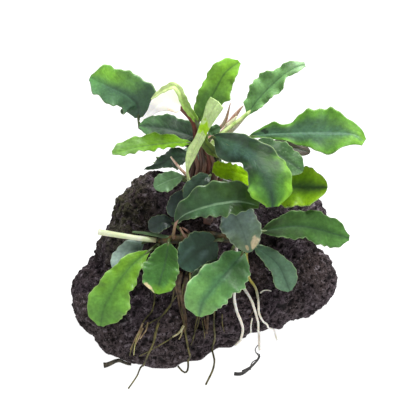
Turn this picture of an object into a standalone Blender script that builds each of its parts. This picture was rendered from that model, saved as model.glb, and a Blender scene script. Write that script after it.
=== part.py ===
"""A bucephalandra, a small wavy-leaved water plant, grown onto a lump of lava stone.

Metres, +Z up. The origin is the middle of the stone's flat underside, and the plant faces -Y.
Lengths in the tables below are in millimetres.
"""
import math
from typing import NamedTuple

import bmesh
import bpy
from mathutils import Matrix, Vector, noise
from mathutils.bvhtree import BVHTree

MM = 0.001
GAP = 0.35                    # clear space that neighbours keep


class Leaf(NamedTuple):
    """A leaf, or the flower's spathe: its petiole and then its midrib, from base to tip."""
    name: str
    stalk: tuple
    rib: tuple
    width: float
    face: tuple               # way that the upper side looks
    tip_face: tuple = None    # the same at the tip, where the blade twists
    broadest: float = 0.58    # place of the widest point, as a share of the blade
    waves: int = 3            # waves along each margin
    ripple: float = 1.0       # height of a wave
    fold: float = 4.0         # degrees that each half is raised from flat
    petiole: float = 0.75     # radius
    neck: float = 0.0         # share of the blade that narrows towards its base
    point: float = 0.0        # share of the blade that is drawn out into a point
    left: tuple = ()          # how far that margin is from the midrib, at even shares of the
    right: tuple = ()         # blade, where it isn't as regular as the outline by width


class Stem(NamedTuple):
    """A round stem or stalk through its points, with a radius at each."""
    name: str
    points: tuple
    radii: tuple


class Root(NamedTuple):
    """A root that clings to the stone, with its radius at each end."""
    name: str
    points: tuple
    thick: float
    thin: float


# Stone, as lumps grown together: middle and radii of each
STONE_LUMPS = (
    ((0, -2, 20), (60, 38, 24)),        # broad foot
    ((-45, -9, 18), (20.5, 31, 17)),    # left shoulder of the foot
    ((-23, -21, 10), (37, 29, 21)),     # front foot
    ((44.5, 0, 19.5), (23, 22, 17)),    # right end
    ((4, -24, 8), (14, 14, 12)),        # end of the front foot
    ((-19, 15, 47), (23, 22, 25)),      # left hump
    ((-34, 3, 35), (20, 26, 21)),       # left flank
    ((-35, 10, 53), (11, 12, 12)),     # bulge on the left hump
    ((2, 2, 48), (28, 24, 25)),         # middle, which carries the crown
    ((39, 13, 39), (20, 20, 17)),       # right shoulder
    ((54, 15, 48), (9, 10, 10)),        # knob at the top of it
    ((-4, -18, 38), (22, 16, 18)),      # brow above the front face
)
STONE_VOXEL = 2.4
STONE_SOFTENING = 6
STONE_RELIEF = ((26.0, 3.2), (13.0, 3.6), (7.0, 2.0))   # size and height of each order of bumps
STONE_NOISE_START = Vector((3.1, 7.7, 1.3))
STONE_TRIANGLES = 3100

TIP_ROUNDNESS = 0.55          # 1 is a straight taper, 0 a square end
BLADE_THICKNESS = (1.1, 0.6)  # at the midrib, at the blade's base and near its tip
TIP_SIZE = 0.12
NECK_WIDTH = 0.3              # of a blade with a neck, at its base
POINT_WIDTH = 0.15            # of a blade with a point, at its tip
STALK_RINGS = 3
STALK_FADE = 0.22             # share of the blade over which the petiole thins into the midrib
WAVE_LAG = 0.37               # that one margin's waves are behind the other's
SCALLOP = 0.05                # of the half width, in step with the waves
LINE_STEPS = 12               # of a smooth line, from one of its points to the next
RINGS_PER_WAVE = 4
SPARE_RINGS = 3
STEP = 4.5                    # between a root's points
CLING = 5.0                   # a root nearer than this to the stone lies on it

LEAVES = (
    Leaf("leaf_upper_left", ((-3.5, 3, 99), (-17.5, 9, 99), (-30, 12, 103),), ((-31.1, 13, 108.9),
         (-31.2, 13, 115.8), (-34.4, 12.5, 120.6), (-39.6, 12, 124.9), (-46.6, 11, 129.4),
         (-53.6, 10, 133.6)), 22, (-0.1, -0.75, 0.65), waves=3, ripple=1.3, fold=8,
         left=(2, 7, 8.6, 8.5, 6.2, 6.3, 9.4, 8.6, 5.6, 7.3, 1.5),
         right=(0.8, 7.5, 10.5, 11.5, 11.3, 10.8, 9.8, 9.3, 9.3, 7.6, 1.5)),
    Leaf("leaf_young_arched", ((-1, -3, 107.5),), ((-2.5, -4.5, 117.5), (-5.5, -5, 123.5),
         (-8, -5.5, 128.5), (-9.5, -5, 132.5), (-11.5, -4, 136), (-14.5, -3.5, 138),
         (-17.5, -3.5, 137), (-21, -3.5, 134), (-24, -3.5, 130)), 3.4, (0, -0.7, 0.7), broadest=0.35,
         waves=3, ripple=0.3, fold=15),
    Leaf("flower_spathe", ((-2, 1, 103), (-4.8, 1, 114)), ((-9, -0.5, 122.5), (-12.5, -1.5, 125.5),
         (-16.5, -2, 127), (-21, -2.5, 125.5), (-24.5, -3, 122), (-30, -4, 117.5)), 13.5,
         (0, -0.75, 0.65), broadest=0.32, waves=1, ripple=0.1, fold=14, petiole=1.4, point=0.85),
    Leaf("leaf_left_dark", ((-2.5, 3.5, 100.5),), ((-5.5, 4.5, 103), (-16.5, 6, 107),
         (-30.5, 7.5, 108)), 14.5, (0, -0.6, 0.8), waves=3, ripple=0.8, fold=5,
         left=(2, 5, 6, 6.5, 6.8, 7, 7, 6.4, 5.4, 4, 1.2),
         right=(2, 4, 5.5, 6.5, 7, 7.2, 7, 6.5, 5.6, 4.2, 1.2)),
    Leaf("leaf_left_bright", ((-3, -3, 101),), ((-5.7, -5, 105.9), (-12.8, -7, 107.4),
         (-22.4, -9, 107.6), (-31.9, -11, 107.1), (-42.9, -13, 105.3)), 9, (0, -0.45, 0.9), waves=4,
         ripple=1.0, fold=10, left=(0.8, 2.4, 2.8, 2.6, 3.2, 3.6, 2.6, 3.2, 2.8, 2.8, 0.8),
         right=(0.8, 2.2, 3.8, 5, 5.8, 5.8, 5.6, 5.2, 4.8, 4.2, 1)),
    Leaf("leaf_young_rolled", ((-7, -12, 92.5),), ((-6.9, -12.5, 95.2), (-5.3, -13, 104.2),
         (-1.9, -13.5, 114.7), (1.2, -14, 123.4), (4, -14, 130), (7, -13.5, 134.3)), 9,
         (-0.3, -0.8, 0.5), waves=1, ripple=0.2, fold=25, petiole=0.7,
         left=(0.7, 1.3, 1.8, 2.1, 2.1, 2.1, 2.2, 3, 3.8, 4.4, 4.2),
         right=(0.7, 1.2, 1.7, 2, 2, 2.1, 2.4, 3.2, 4.2, 4.7, 4.5)),
    Leaf("leaf_top", ((-1.5, 1, 105),), ((-1.5, 2, 114), (3, 3, 123), (7, 4.5, 131),
         (11.5, 6.5, 138.5), (18, 9.5, 142.5)), 14.5, (-0.2, -0.8, 0.5), waves=3, ripple=1.0, fold=12,
         left=(0.8, 4, 6, 6.5, 6.5, 7, 7, 6.7, 6.2, 5, 1.2),
         right=(0.8, 5, 7.5, 8.2, 6.6, 7.2, 7.2, 6.5, 6.2, 4.5, 1.2)),
    Leaf("leaf_upper_right", ((3, 0.5, 99), (7, 3.5, 103), (14, 8, 107)), ((22.1, 12, 111.8),
         (26.5, 14, 117.5), (30.3, 15.5, 121.7), (35.6, 17.5, 126.7), (40.9, 19, 130.9),
         (45.8, 20.5, 133.3), (50.2, 22, 133.9)), 13, (-0.2, -0.75, 0.6), waves=4, ripple=1.6, fold=10,
         petiole=1.4, left=(0.9, 4.8, 5.7, 7, 8, 7.6, 5.3, 4.5, 4, 3, 1.2),
         right=(0.9, 2.5, 4.2, 4.2, 4.8, 5.7, 4.5, 2.2, 2.6, 2.5, 1.2)),
    Leaf("leaf_right_long", ((3, 0, 97.5), (17, 6, 97.5),), ((23.6, 7, 101.7), (32.4, 6, 103.8),
         (43, 5, 105), (59.8, 1, 107.5), (72.5, -3, 109.5), (78.5, -5, 106.7)), 24, (0.1, -0.6, 0.78),
         waves=4, ripple=1.5, fold=8, left=(0.8, 4, 5.7, 4.6, 8.6, 11.8, 13, 12.2, 9.2, 5.2, 1.6),
         right=(0.8, 1.5, 2.5, 4, 6, 6.9, 10.3, 11, 8.6, 6, 2.4)),
    Leaf("leaf_front_arched", ((1.5, -5, 101.5),), ((5.4, -10, 112.5), (12.5, -16, 111.8),
         (19.6, -21, 111.2), (25.2, -26, 109.8), (28.9, -31, 106.5), (31.6, -35, 102.7),
         (32.9, -38.5, 98.4), (33.3, -41, 93.3)), 22, (0.1, -0.7, 0.7), waves=3, ripple=1.2, fold=-8,
         left=(1, 5, 8.7, 8.7, 8.3, 11, 11.8, 11.6, 11.6, 10, 3),
         right=(1, 4.5, 8, 7.2, 4.6, 6.8, 7.2, 9, 10, 9.2, 3)),
    Leaf("leaf_right_shaded", ((3.5, -3, 96),), ((24.5, -3, 104), (36.5, -7, 101), (49, -11, 93.5)),
         14, (0.2, -0.6, 0.75), waves=3, ripple=1.0),
    Leaf("leaf_right_hidden", ((2.5, 5, 89.5), (18, 14, 91),), ((30, 14, 93), (42.5, 14, 91.5),
         (54, 13, 89)), 8, (0.2, -0.6, 0.75), waves=2, ripple=0.6),
    Leaf("leaf_right_yellow", ((4, 1, 84), (19, 4, 77),), ((30.5, 3, 75.5), (46, -3, 79),
         (61.5, -8, 82)), 21.5, (0.1, -0.65, 0.75), waves=3, ripple=1.2, fold=6, broadest=0.5),
    Leaf("leaf_front_yellow", ((6, -7, 80), (18.5, -11, 81.5),), ((26, -14, 90), (16.5, -16, 96.5),
         (5.5, -17, 100)), 10, (-0.1, -0.7, 0.7), waves=3, ripple=0.8),
    Leaf("leaf_middle_glossy", ((-14, -24, 64),), ((-12.4, -26, 73.4), (-9, -27, 78.3),
         (-4.9, -28, 81.5), (2.5, -29, 85), (9.7, -30, 87.7), (18.3, -30, 88.6), (27.4, -29, 85.5)),
         17, (0, -0.7, 0.7), waves=5, ripple=1.2, fold=10,
         left=(0.8, 4.5, 6.5, 8.8, 10.6, 10.9, 10.8, 10.2, 9, 7, 1.5),
         right=(0.8, 1.8, 3, 3.8, 4.6, 5.6, 6.5, 6.6, 5.2, 3, 1)),
    Leaf("leaf_front_damaged", ((4.5, -19, 74),), ((11.5, -23, 83), (18.5, -30, 75), (23, -35, 62.5)),
         20, (0.1, -0.85, 0.5), waves=3, ripple=0.8),
    Leaf("leaf_right_low", ((20.5, -25, 64.5),), ((29, -24, 67), (49, -19, 66.5), (73, -15, 56.5)),
         17, (0, -0.6, 0.8), waves=4, ripple=1.2, fold=8),
    Leaf("leaf_small_low_right", ((21.5, -25, 62),), ((25.5, -27, 60.5), (37, -29, 51),
         (43.5, -32, 36.5)), 12, (0.1, -0.8, 0.6), waves=3, ripple=0.5,
         left=(0.8, 2.5, 3.5, 4, 4.5, 5.2, 6, 6.5, 6.5, 5, 1.2),
         right=(0.8, 2.5, 3.5, 4.2, 4.8, 5, 5.2, 5.5, 6, 5, 1.2)),
    Leaf("leaf_front_low", ((18.5, -26, 63.5),), ((20, -29, 57.9), (14.2, -38, 55.9),
         (9.3, -44, 53.2), (4.5, -48, 49), (0.4, -51, 44), (-1.3, -52, 36.5)), 22, (0, -0.8, 0.6),
         waves=4, ripple=0.8, fold=6, left=(1.5, 6.5, 9.5, 11, 11, 9.8, 9.2, 8.8, 8, 6, 1.5),
         right=(1.5, 6, 7.2, 7.2, 8.8, 10.5, 10.8, 10.8, 10, 7.5, 1.5)),
    Leaf("leaf_left_low", ((-22.5, -21, 56.5),), ((-26.1, -26, 56.3), (-33.1, -31, 53),
         (-39.2, -36, 47.9), (-43.6, -40, 42.1), (-48, -44, 34.3), (-49.6, -46.5, 26.1)), 18,
         (-0.1, -0.8, 0.6), waves=4, ripple=0.9, fold=8,
         left=(0.9, 3.2, 4.6, 6.6, 8, 8, 10.4, 11.4, 10.6, 8, 1.5),
         right=(0.9, 3.5, 5.2, 6, 6.8, 7.6, 8.4, 9, 8.6, 6.8, 1.5)),
    Leaf("leaf_small_low_left", ((-16.5, -26, 62),), ((-16.2, -30.5, 64.5), (-17.4, -34.8, 57.4),
         (-20, -41, 50.5), (-22, -45, 45)), 17, (0, -0.85, 0.5), waves=3, ripple=0.5, fold=6,
         left=(1.5, 4.2, 5.2, 6.1, 6.8, 7.4, 7.7, 7.6, 7, 5.6, 1.5),
         right=(1.5, 5, 6.5, 8, 9, 9.8, 9.8, 9.4, 8.6, 6.4, 1.5)),
    Leaf("leaf_under_dark", ((10, -25, 63),), ((7, -28, 64.5), (-1.5, -32, 61), (-10.5, -36, 54.5)),
         18, (0, -0.8, 0.6), waves=3, ripple=0.6),
    Leaf("leaf_under_short", ((16.5, -26, 61.5),), ((12, -33, 57.5), (3.5, -40.5, 55),
         (-5, -44.5, 52)), 9, (0, -0.8, 0.6), waves=2, ripple=0.5),
    Leaf("leaf_left_grey", ((-22.5, -17, 56.5),), ((-28.5, -18, 56), (-35.5, -22, 53.5),
         (-43, -26, 43.5)), 10.5, (-0.1, -0.75, 0.65), waves=2, ripple=0.5),
    Leaf("leaf_small_left", ((-8, -11, 88.5),), ((-9, -14, 92.5), (-15.5, -15, 91), (-23, -17, 88)),
         9.5, (0, -0.7, 0.7), waves=2, ripple=0.5),
    Leaf("leaf_left_tucked", ((-5, -4, 86),), ((-7.2, -4, 95.4), (-13.6, -2, 95.6), (-21.5, 0, 89.9),
         (-28.5, 1, 86.6)), 9.5, (0, -0.6, 0.8), waves=3, ripple=0.9, broadest=0.36, point=0.7),
    Leaf("leaf_hanging_narrow", ((-6.5, -12, 84),), ((-9, -14, 84.5), (-12, -17, 79.5),
         (-14.5, -21, 73.5)), 8.5, (0, -0.8, 0.6), waves=2, ripple=0.4),
    Leaf("leaf_left_slate", ((-10, -19, 66),), ((-14, -20, 69), (-20, -21, 70), (-26, -20, 65.5)),
         8.5, (0, -0.7, 0.7), waves=2, ripple=0.4),
    Leaf("leaf_inner_grey", ((3.5, -7, 87),), ((4, -11, 91), (-0.5, -15, 90), (-8, -19, 82)), 10,
         (-0.1, -0.75, 0.65), waves=2, ripple=0.5),
    Leaf("leaf_bud_round", ((1, 5, 102.5),), ((3.5, 9, 102), (6.5, 10, 104), (10, 10, 106.5)), 5,
         (0, -0.75, 0.65), waves=1, ripple=0.3),
    Leaf("leaf_olive_curled", ((2, -5, 97),), ((8.8, -7, 98.5), (4.5, -8, 103.8), (1.4, -8.5, 108.7),
         (2.6, -8, 112)), 5, (-0.2, -0.8, 0.5), waves=1, ripple=0.2, fold=10),
    Leaf("leaf_back_right", ((3, 5, 85),), ((7, 12, 91), (20, 24, 83.5), (36, 40, 68)), 18,
         (0.2, 0.5, 0.8), waves=3, ripple=1.0),
    Leaf("leaf_back_left", ((-3, 3, 95.5),), ((-6, 9, 91.5), (-13, 20, 84), (-21.5, 33, 70)), 16,
         (-0.3, 0.5, 0.8), waves=3, ripple=1.0),
    Leaf("leaf_back_middle", ((0.5, 4, 92),), ((0.5, 13, 89), (1.5, 28, 75.5), (3.5, 44, 55)), 17,
         (0, 0.6, 0.8), waves=3, ripple=1.0),
    Leaf("leaf_back_low", ((6.5, 5, 79),), ((10, 12, 73), (19.5, 24, 62.5), (29, 37, 48.5)), 16,
         (0.2, 0.5, 0.8), waves=3, ripple=0.9),
)

STEMS = (
    Stem("rhizome", ((-21, -20, 58.5), (-15.5, -22, 60.5), (-7.5, -23, 62), (1, -22, 63),
         (10, -23, 62.5), (21, -23, 61.5)), (2.2, 2.5, 2.6, 2.6, 2.4, 2.0)),
    Stem("crown_stem", ((2.5, -18, 67), (4.5, -12, 76.5), (5, -3, 79.5), (2, -2, 94),
         (-1, -1, 104)), (3.0, 3.4, 3.3, 2.8, 2.4)),
    Stem("side_shoot", ((-1.5, -14, 75), (-4, -11, 79), (-6.5, -11, 89.5)), (2.2, 2.4, 1.8)),
)

STALKS = (
    Stem("cut_petiole", ((-22.4, -21, 59.5), (-35.5, -20, 60.8), (-51, -17, 61.7)), (1.3, 1.3, 1.5)),
    Stem("sheath_needle", ((-1, 5.5, 98.8), (4.5, 15, 98), (11, 14, 105.5), (14, 13, 117.5)),
         (0.8, 0.8, 0.7, 0.3)),
    Stem("sheath_curved", ((1, 6, 95.5), (11, 19, 97.5), (17, 19, 107.5), (20.5, 19, 112.5)),
         (0.9, 1.4, 1.4, 0.3)),
    Stem("sheath_side", ((-7.5, -9, 90), (-11, -9, 94.5), (-15, -8, 100)), (0.8, 0.7, 0.4)),
)

ROOTS = (
    Root("root_white_left", ((17, -17, 55), (17, -19, 45), (16, -29, 38), (16, -34, 32),
         (19, -37, 21), (18, -34, 7), (18, -36, 1)), 0.6, 0.35),
    Root("root_white_middle", ((20, -16, 54), (20, -17, 43), (20, -26, 37), (26, -34, 27),
         (28, -32, 13), (29, -35, 1)), 0.6, 0.4),
    Root("root_white_right", ((22, -14, 53), (23, -16, 42), (23, -23, 38), (27, -27, 34),
         (28, -33, 26), (32, -30, 14), (38, -27, 1)), 0.65, 0.3),
    Root("root_white_twig", ((29, -28, 32), (31, -27, 33), (35, -26, 32)), 0.35, 0.25),
    Root("root_white_fork", ((25, -35, 22), (24, -36, 16), (24, -32, 8)), 0.4, 0.25),
    Root("root_black_end", ((29, -38, 1), (27, -44, 1), (20, -53, 1), (16, -53, 1)), 0.5, 0.9),
    Root("root_brown_a", ((-18, -16, 54), (-21, -22, 47), (-23, -27, 39), (-24, -31, 34),
         (-25, -37, 28), (-29, -43, 22), (-33, -46, 17), (-36, -48, 8)), 0.45, 0.3),
    Root("root_brown_b", ((-12, -19, 58), (-11, -29, 52), (-12, -32, 43), (-14, -34, 35),
         (-16, -37, 30), (-21, -41, 26), (-27, -43, 23)), 0.45, 0.3),
    Root("root_brown_c", ((-21, -43, 25), (-24, -49, 16), (-29, -46, 1), (-33, -57, 1),
         (-36, -64, 1)), 0.4, 0.3),
    Root("root_brown_d", ((-6, -20, 60), (-7, -29, 52), (-9, -33, 44), (-10, -34, 34),
         (-9, -43, 23), (-7, -48, 14), (-6, -47, 1), (-9, -53, 1), (-13, -46, 1)), 0.6, 0.35),
    Root("root_brown_e", ((-11, -45, 22), (-15, -48, 20), (-22, -50, 16)), 0.35, 0.25),
    Root("root_brown_f", ((4, -20, 59), (5, -28, 52), (6, -33, 40), (6, -38, 24), (6, -38, 8),
         (6, -47, 1), (2, -61, 1)), 0.45, 0.3),
    Root("root_brown_g", ((-2, -20, 59), (-3, -29, 52), (-2, -35, 42), (-1, -39, 25),
         (-5, -45, 17)), 0.35, 0.25),
    Root("root_brown_thick", ((1, -20, 59), (2, -29, 52), (2, -34, 38), (3, -39, 25),
         (2, -41, 18)), 1, 0.7),
    Root("root_dead_scrap", ((-49, -47, 1), (-42, -46, 1), (-35, -45, 1)), 0.8, 0.6),
)


def finish_material(name, colour, roughness):
    """A plain material of one colour."""
    material = bpy.data.materials.new(name)
    material.use_nodes = True
    shader = material.node_tree.nodes["Principled BSDF"]
    shader.inputs["Base Color"].default_value = (*colour, 1.0)
    shader.inputs["Roughness"].default_value = roughness
    return material


def add_piece(name, mesh, material, collection):
    """Put a mesh in the collection as a named piece."""
    piece = bpy.data.objects.new(name, mesh)
    mesh.materials.clear()
    mesh.materials.append(material)
    collection.objects.link(piece)
    return piece


def apply_modifiers(piece):
    """Turn a piece with modifiers into the plain mesh that they give."""
    depsgraph = bpy.context.evaluated_depsgraph_get()
    mesh = bpy.data.meshes.new_from_object(piece.evaluated_get(depsgraph))
    piece.modifiers.clear()
    old = piece.data
    piece.data = mesh
    bpy.data.meshes.remove(old)


def surface_of(piece):
    """A search tree over a finished mesh piece."""
    mesh = piece.data
    corners = [vertex.co for vertex in mesh.vertices]
    return BVHTree.FromPolygons(corners, [tuple(face.vertices) for face in mesh.polygons])


def smooth_line(points):
    """A Catmull-Rom line through the points, as a list of places in metres."""
    knots = [Vector(point) * MM for point in points]
    knots = [2 * knots[0] - knots[1], *knots, 2 * knots[-1] - knots[-2]]
    line = []
    for a, b, c, d in zip(knots, knots[1:], knots[2:], knots[3:]):
        for step in range(LINE_STEPS):
            t = step / LINE_STEPS
            line.append(0.5 * (2 * b + (c - a) * t + (2 * a - 5 * b + 4 * c - d) * t ** 2
                               + (3 * b - a - 3 * c + d) * t ** 3))
    line.append(knots[-2])
    return line


def along(line, share):
    """The place and direction at a share, 0 to 1, of a line's length."""
    lengths = [(b - a).length for a, b in zip(line, line[1:])]
    left = share * sum(lengths)
    for start, end, length in zip(line, line[1:], lengths):
        if left <= length or end is line[-1]:
            return start.lerp(end, min(left / length, 1.0)), (end - start).normalized()
        left -= length


def loft(name, rings):
    """Skin a row of rings of equal count and close both ends."""
    form = bmesh.new()
    rows = [[form.verts.new(corner) for corner in ring] for ring in rings]
    count = len(rows[0])
    for row, following in zip(rows, rows[1:]):
        for i in range(count):
            j = (i + 1) % count
            form.faces.new((row[i], row[j], following[j], following[i]))
    form.faces.new(rows[0][::-1])
    form.faces.new(rows[-1])
    bmesh.ops.triangulate(form, faces=form.faces[:])
    bmesh.ops.recalc_face_normals(form, faces=form.faces[:])
    mesh = bpy.data.meshes.new(name)
    form.to_mesh(mesh)
    form.free()
    return mesh


def build_stone(collection, material):
    """Lumps fused by a voxel remesh, roughened by noise and cut off flat underneath."""
    form = bmesh.new()
    for middle, radii in STONE_LUMPS:
        place = Matrix.Translation(Vector(middle) * MM) @ Matrix.Diagonal((*radii, 1.0 / MM)) * MM
        bmesh.ops.create_icosphere(form, subdivisions=4, radius=1.0, matrix=place)
    mesh = bpy.data.meshes.new("stone")
    form.to_mesh(mesh)
    form.free()
    stone = add_piece("stone", mesh, material, collection)

    fuse = stone.modifiers.new("Fuse", "REMESH")
    fuse.mode = "VOXEL"
    fuse.voxel_size = STONE_VOXEL * MM
    soften = stone.modifiers.new("Soften", "SMOOTH")
    soften.iterations = STONE_SOFTENING
    apply_modifiers(stone)

    for vertex in stone.data.vertices:
        rise = 0.0
        for size, height in STONE_RELIEF:
            rise += height * noise.noise(vertex.co / (size * MM) + STONE_NOISE_START)
        vertex.co += vertex.normal * rise * MM

    thin = stone.modifiers.new("Thin", "DECIMATE")
    thin.ratio = STONE_TRIANGLES / sum(len(face.vertices) - 2 for face in stone.data.polygons)
    apply_modifiers(stone)

    cut = bmesh.new()
    cut.from_mesh(stone.data)
    everything = cut.verts[:] + cut.edges[:] + cut.faces[:]
    bmesh.ops.bisect_plane(cut, geom=everything, plane_co=(0, 0, 0), plane_no=(0, 0, -1), clear_outer=True)
    rim = [edge for edge in cut.edges if edge.is_boundary]
    bmesh.ops.triangle_fill(cut, edges=rim, use_beauty=True, normal=(0, 0, -1))
    bmesh.ops.triangulate(cut, faces=cut.faces[:])
    bmesh.ops.recalc_face_normals(cut, faces=cut.faces[:])
    cut.to_mesh(stone.data)
    cut.free()
    return stone


def build_tube(name, places, radii, sides, collection, material):
    """A round solid along a line of places, by the rings of a rotating frame."""
    rings = []
    across = Vector((0.31, 0.17, 0.94))
    for i, place in enumerate(places):
        ahead = (places[min(i + 1, len(places) - 1)] - places[max(i - 1, 0)]).normalized()
        across = (across - across.dot(ahead) * ahead).normalized()
        other = ahead.cross(across)
        ring = []
        for k in range(sides):
            angle = math.tau * k / sides
            ring.append(place + radii[i] * MM * (math.cos(angle) * across + math.sin(angle) * other))
        rings.append(ring)
    return add_piece(name, loft(name, rings), material, collection)


def build_stem(stem, collection, material, sides=8, rings=9):
    """A stem or stalk whose radius passes evenly from one point's to the next."""
    line = smooth_line(stem.points)
    places = []
    radii = []
    for i in range(rings):
        share = i / (rings - 1)
        places.append(along(line, share)[0])
        step, part = divmod(share * (len(stem.radii) - 1), 1)
        step = min(int(step), len(stem.radii) - 2)
        part = part if share < 1 else 1.0
        radii.append(stem.radii[step] * (1 - part) + stem.radii[step + 1] * part)
    return build_tube(stem.name, places, radii, sides, collection, material)


def start_on_stem(point, radius, stems):
    """The place just off the nearest stem where a petiole or stalk begins."""
    hits = [stem.find_nearest(Vector(point) * MM) for stem in stems]
    place, normal, _, _ = min(hits, key=lambda hit: hit[3])
    return tuple((place + normal * (radius + GAP) * MM) / MM)


def eased(least, part):
    """A factor that passes smoothly from its least value to 1 as part goes from 0 to 1."""
    return least + (1 - least) * part * part * (3 - 2 * part)


def outline(leaf, t):
    """Half width of the blade at share t of its length, as a share of the widest."""
    rise = TIP_ROUNDNESS * leaf.broadest / (1 - leaf.broadest)
    peak = leaf.broadest ** rise * (1 - leaf.broadest) ** TIP_ROUNDNESS
    spread = t ** rise * (1 - t) ** TIP_ROUNDNESS / peak
    if t < leaf.neck:
        spread *= eased(NECK_WIDTH, t / leaf.neck)
    if 1 - t < leaf.point:
        spread *= eased(POINT_WIDTH, (1 - t) / leaf.point)
    return spread


def half_width(leaf, t, hand):
    """How far a margin is from the midrib at share t, in millimetres."""
    reaches = leaf.left if hand < 0 else leaf.right
    if not reaches:
        return 0.5 * leaf.width * outline(leaf, t)
    step = min(int(t * (len(reaches) - 1)), len(reaches) - 2)
    part = t * (len(reaches) - 1) - step
    return reaches[step] * (1 - part) + reaches[step + 1] * part


def build_leaf(leaf, stems, collection, material):
    """Four-cornered rings: both margins, the midrib and the keel under it."""
    start = start_on_stem(leaf.stalk[0], leaf.petiole, stems)
    route = (start, *leaf.stalk[1:], *leaf.rib)
    line = smooth_line(route)
    split = len(leaf.stalk) * LINE_STEPS
    stalk_line = line[:split + 1]
    rib_line = line[split:]
    face = Vector(leaf.face).normalized()
    tip_face = Vector(leaf.tip_face or leaf.face).normalized()
    radius = leaf.petiole * MM
    blade_rings = RINGS_PER_WAVE * leaf.waves + SPARE_RINGS
    phase = sum(ord(letter) for letter in leaf.name) % 7

    stations = [(along(stalk_line, i / STALK_RINGS), None) for i in range(STALK_RINGS)]
    for i in range(blade_rings + 1):
        even = i / blade_rings
        t = 0.5 * even + 0.25 * (1 - math.cos(math.pi * even))
        stations.append((along(rib_line, t), t))

    rings = []
    for (place, ahead), t in stations:
        look = face.lerp(tip_face, t or 0.0)
        up = (look - look.dot(ahead) * ahead).normalized()
        side = ahead.cross(up)
        if t is None:
            rings.append([place - radius * side, place + radius * up,
                          place + radius * side, place - radius * up])
            continue
        stalk_left = radius * max(1 - t / STALK_FADE, 0.0)
        thickness = (BLADE_THICKNESS[0] * (1 - t) + BLADE_THICKNESS[1] * t) * MM
        lift = math.radians(leaf.fold)
        margins = []
        halves = [max(half_width(leaf, t, hand) * MM, stalk_left, TIP_SIZE * MM) for hand in (-1, 1)]
        keel = min(max(stalk_left, thickness), min(halves) + 2 * TIP_SIZE * MM)
        for hand, half in zip((-1, 1), halves):
            turn = math.tau * (leaf.waves * t + WAVE_LAG * hand) + phase
            wave = leaf.ripple * MM * math.sin(turn) * math.sin(math.pi * t) ** 0.5
            reach = half * (1 + SCALLOP * math.cos(turn))
            rise = reach * math.sin(lift) + wave
            margins.append(place + side * hand * reach * math.cos(lift) + up * rise)
        rings.append([margins[0], place + up * stalk_left, margins[1], place - up * keel])
    return add_piece(leaf.name, loft(leaf.name, rings), material, collection)


def clear_stone(places, radii, stone, rounds=6):
    """Lift a root's points until no stretch between them cuts a corner of the stone."""
    for _ in range(rounds):
        for i in range(len(places) - 1):
            for share in (0.0, 0.25, 0.5, 0.75, 1.0):
                place = places[i].lerp(places[i + 1], share)
                hit, normal, _, _ = stone.find_nearest(place)
                short = (radii[i] + GAP) * MM - (place - hit).dot(normal)
                if 0 < short < CLING * MM:
                    places[i] += normal * short * (1 - share)
                    places[i + 1] += normal * short * share
        for place, radius in zip(places, radii):
            place.z = max(place.z, radius * MM)


def build_root(root, stone, stems, collection, material, sides=4):
    """A root whose points are laid on the stone's face where they come near it."""
    line = smooth_line(root.points)
    length = sum((b - a).length for a, b in zip(line, line[1:]))
    count = max(3, round(length / (STEP * MM)) + 1)
    places = []
    radii = []
    for i in range(count):
        share = i / (count - 1)
        radius = root.thick * (1 - share) + root.thin * share
        place = along(line, share)[0]
        hit, normal, _, distance = stone.find_nearest(place)
        outside = (place - hit).dot(normal) > 0
        if distance < CLING * MM or not outside:
            place = hit + normal * (radius + GAP) * MM
        place.z = max(place.z, radius * MM)
        places.append(place)
        radii.append(radius)
    clear_stone(places, radii, stone)
    return build_tube(root.name, places, radii, sides, collection, material)


def main():
    """Clear the scene and build every piece."""
    for old in list(bpy.data.objects):
        bpy.data.objects.remove(old, do_unlink=True)
    collection = bpy.data.collections.new("bucephalandra_on_stone")
    bpy.context.scene.collection.children.link(collection)
    lava = finish_material("lava_stone", (0.025, 0.020, 0.021), 0.92)
    leaf_green = finish_material("leaf_green", (0.09, 0.24, 0.05), 0.4)
    stem_brown = finish_material("stem_brown", (0.16, 0.07, 0.04), 0.6)
    stalk_pale = finish_material("stalk_pale", (0.62, 0.60, 0.33), 0.5)
    root_white = finish_material("root_white", (0.72, 0.68, 0.52), 0.6)
    root_brown = finish_material("root_brown", (0.12, 0.10, 0.03), 0.7)
    spathe_white = finish_material("spathe_white", (0.87, 0.84, 0.70), 0.45)

    stone = surface_of(build_stone(collection, lava))
    stems = [surface_of(build_stem(stem, collection, stem_brown)) for stem in STEMS]
    for stalk in STALKS:
        start = start_on_stem(stalk.points[0], stalk.radii[0], stems)
        placed = stalk._replace(points=(start, *stalk.points[1:]))
        build_stem(placed, collection, stalk_pale, sides=6, rings=6)
    for leaf in LEAVES:
        colour = spathe_white if leaf.name == "flower_spathe" else leaf_green
        build_leaf(leaf, stems, collection, colour)
    for root in ROOTS:
        colour = root_white if "white" in root.name else root_brown
        build_root(root, stone, stems, collection, colour)


main()
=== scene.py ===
"""A bucephalandra, a small wavy-leaved water plant, grown onto a lump of lava stone.

Metres, +Z up. The origin is the middle of the stone's flat underside, and the plant faces -Y.
Lengths in the tables and in the dataclasses are in millimetres.
"""
import logging
import math
from dataclasses import dataclass
from enum import Enum
from typing import NamedTuple

import bpy
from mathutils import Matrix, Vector, noise
from mathutils.bvhtree import BVHTree


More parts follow.
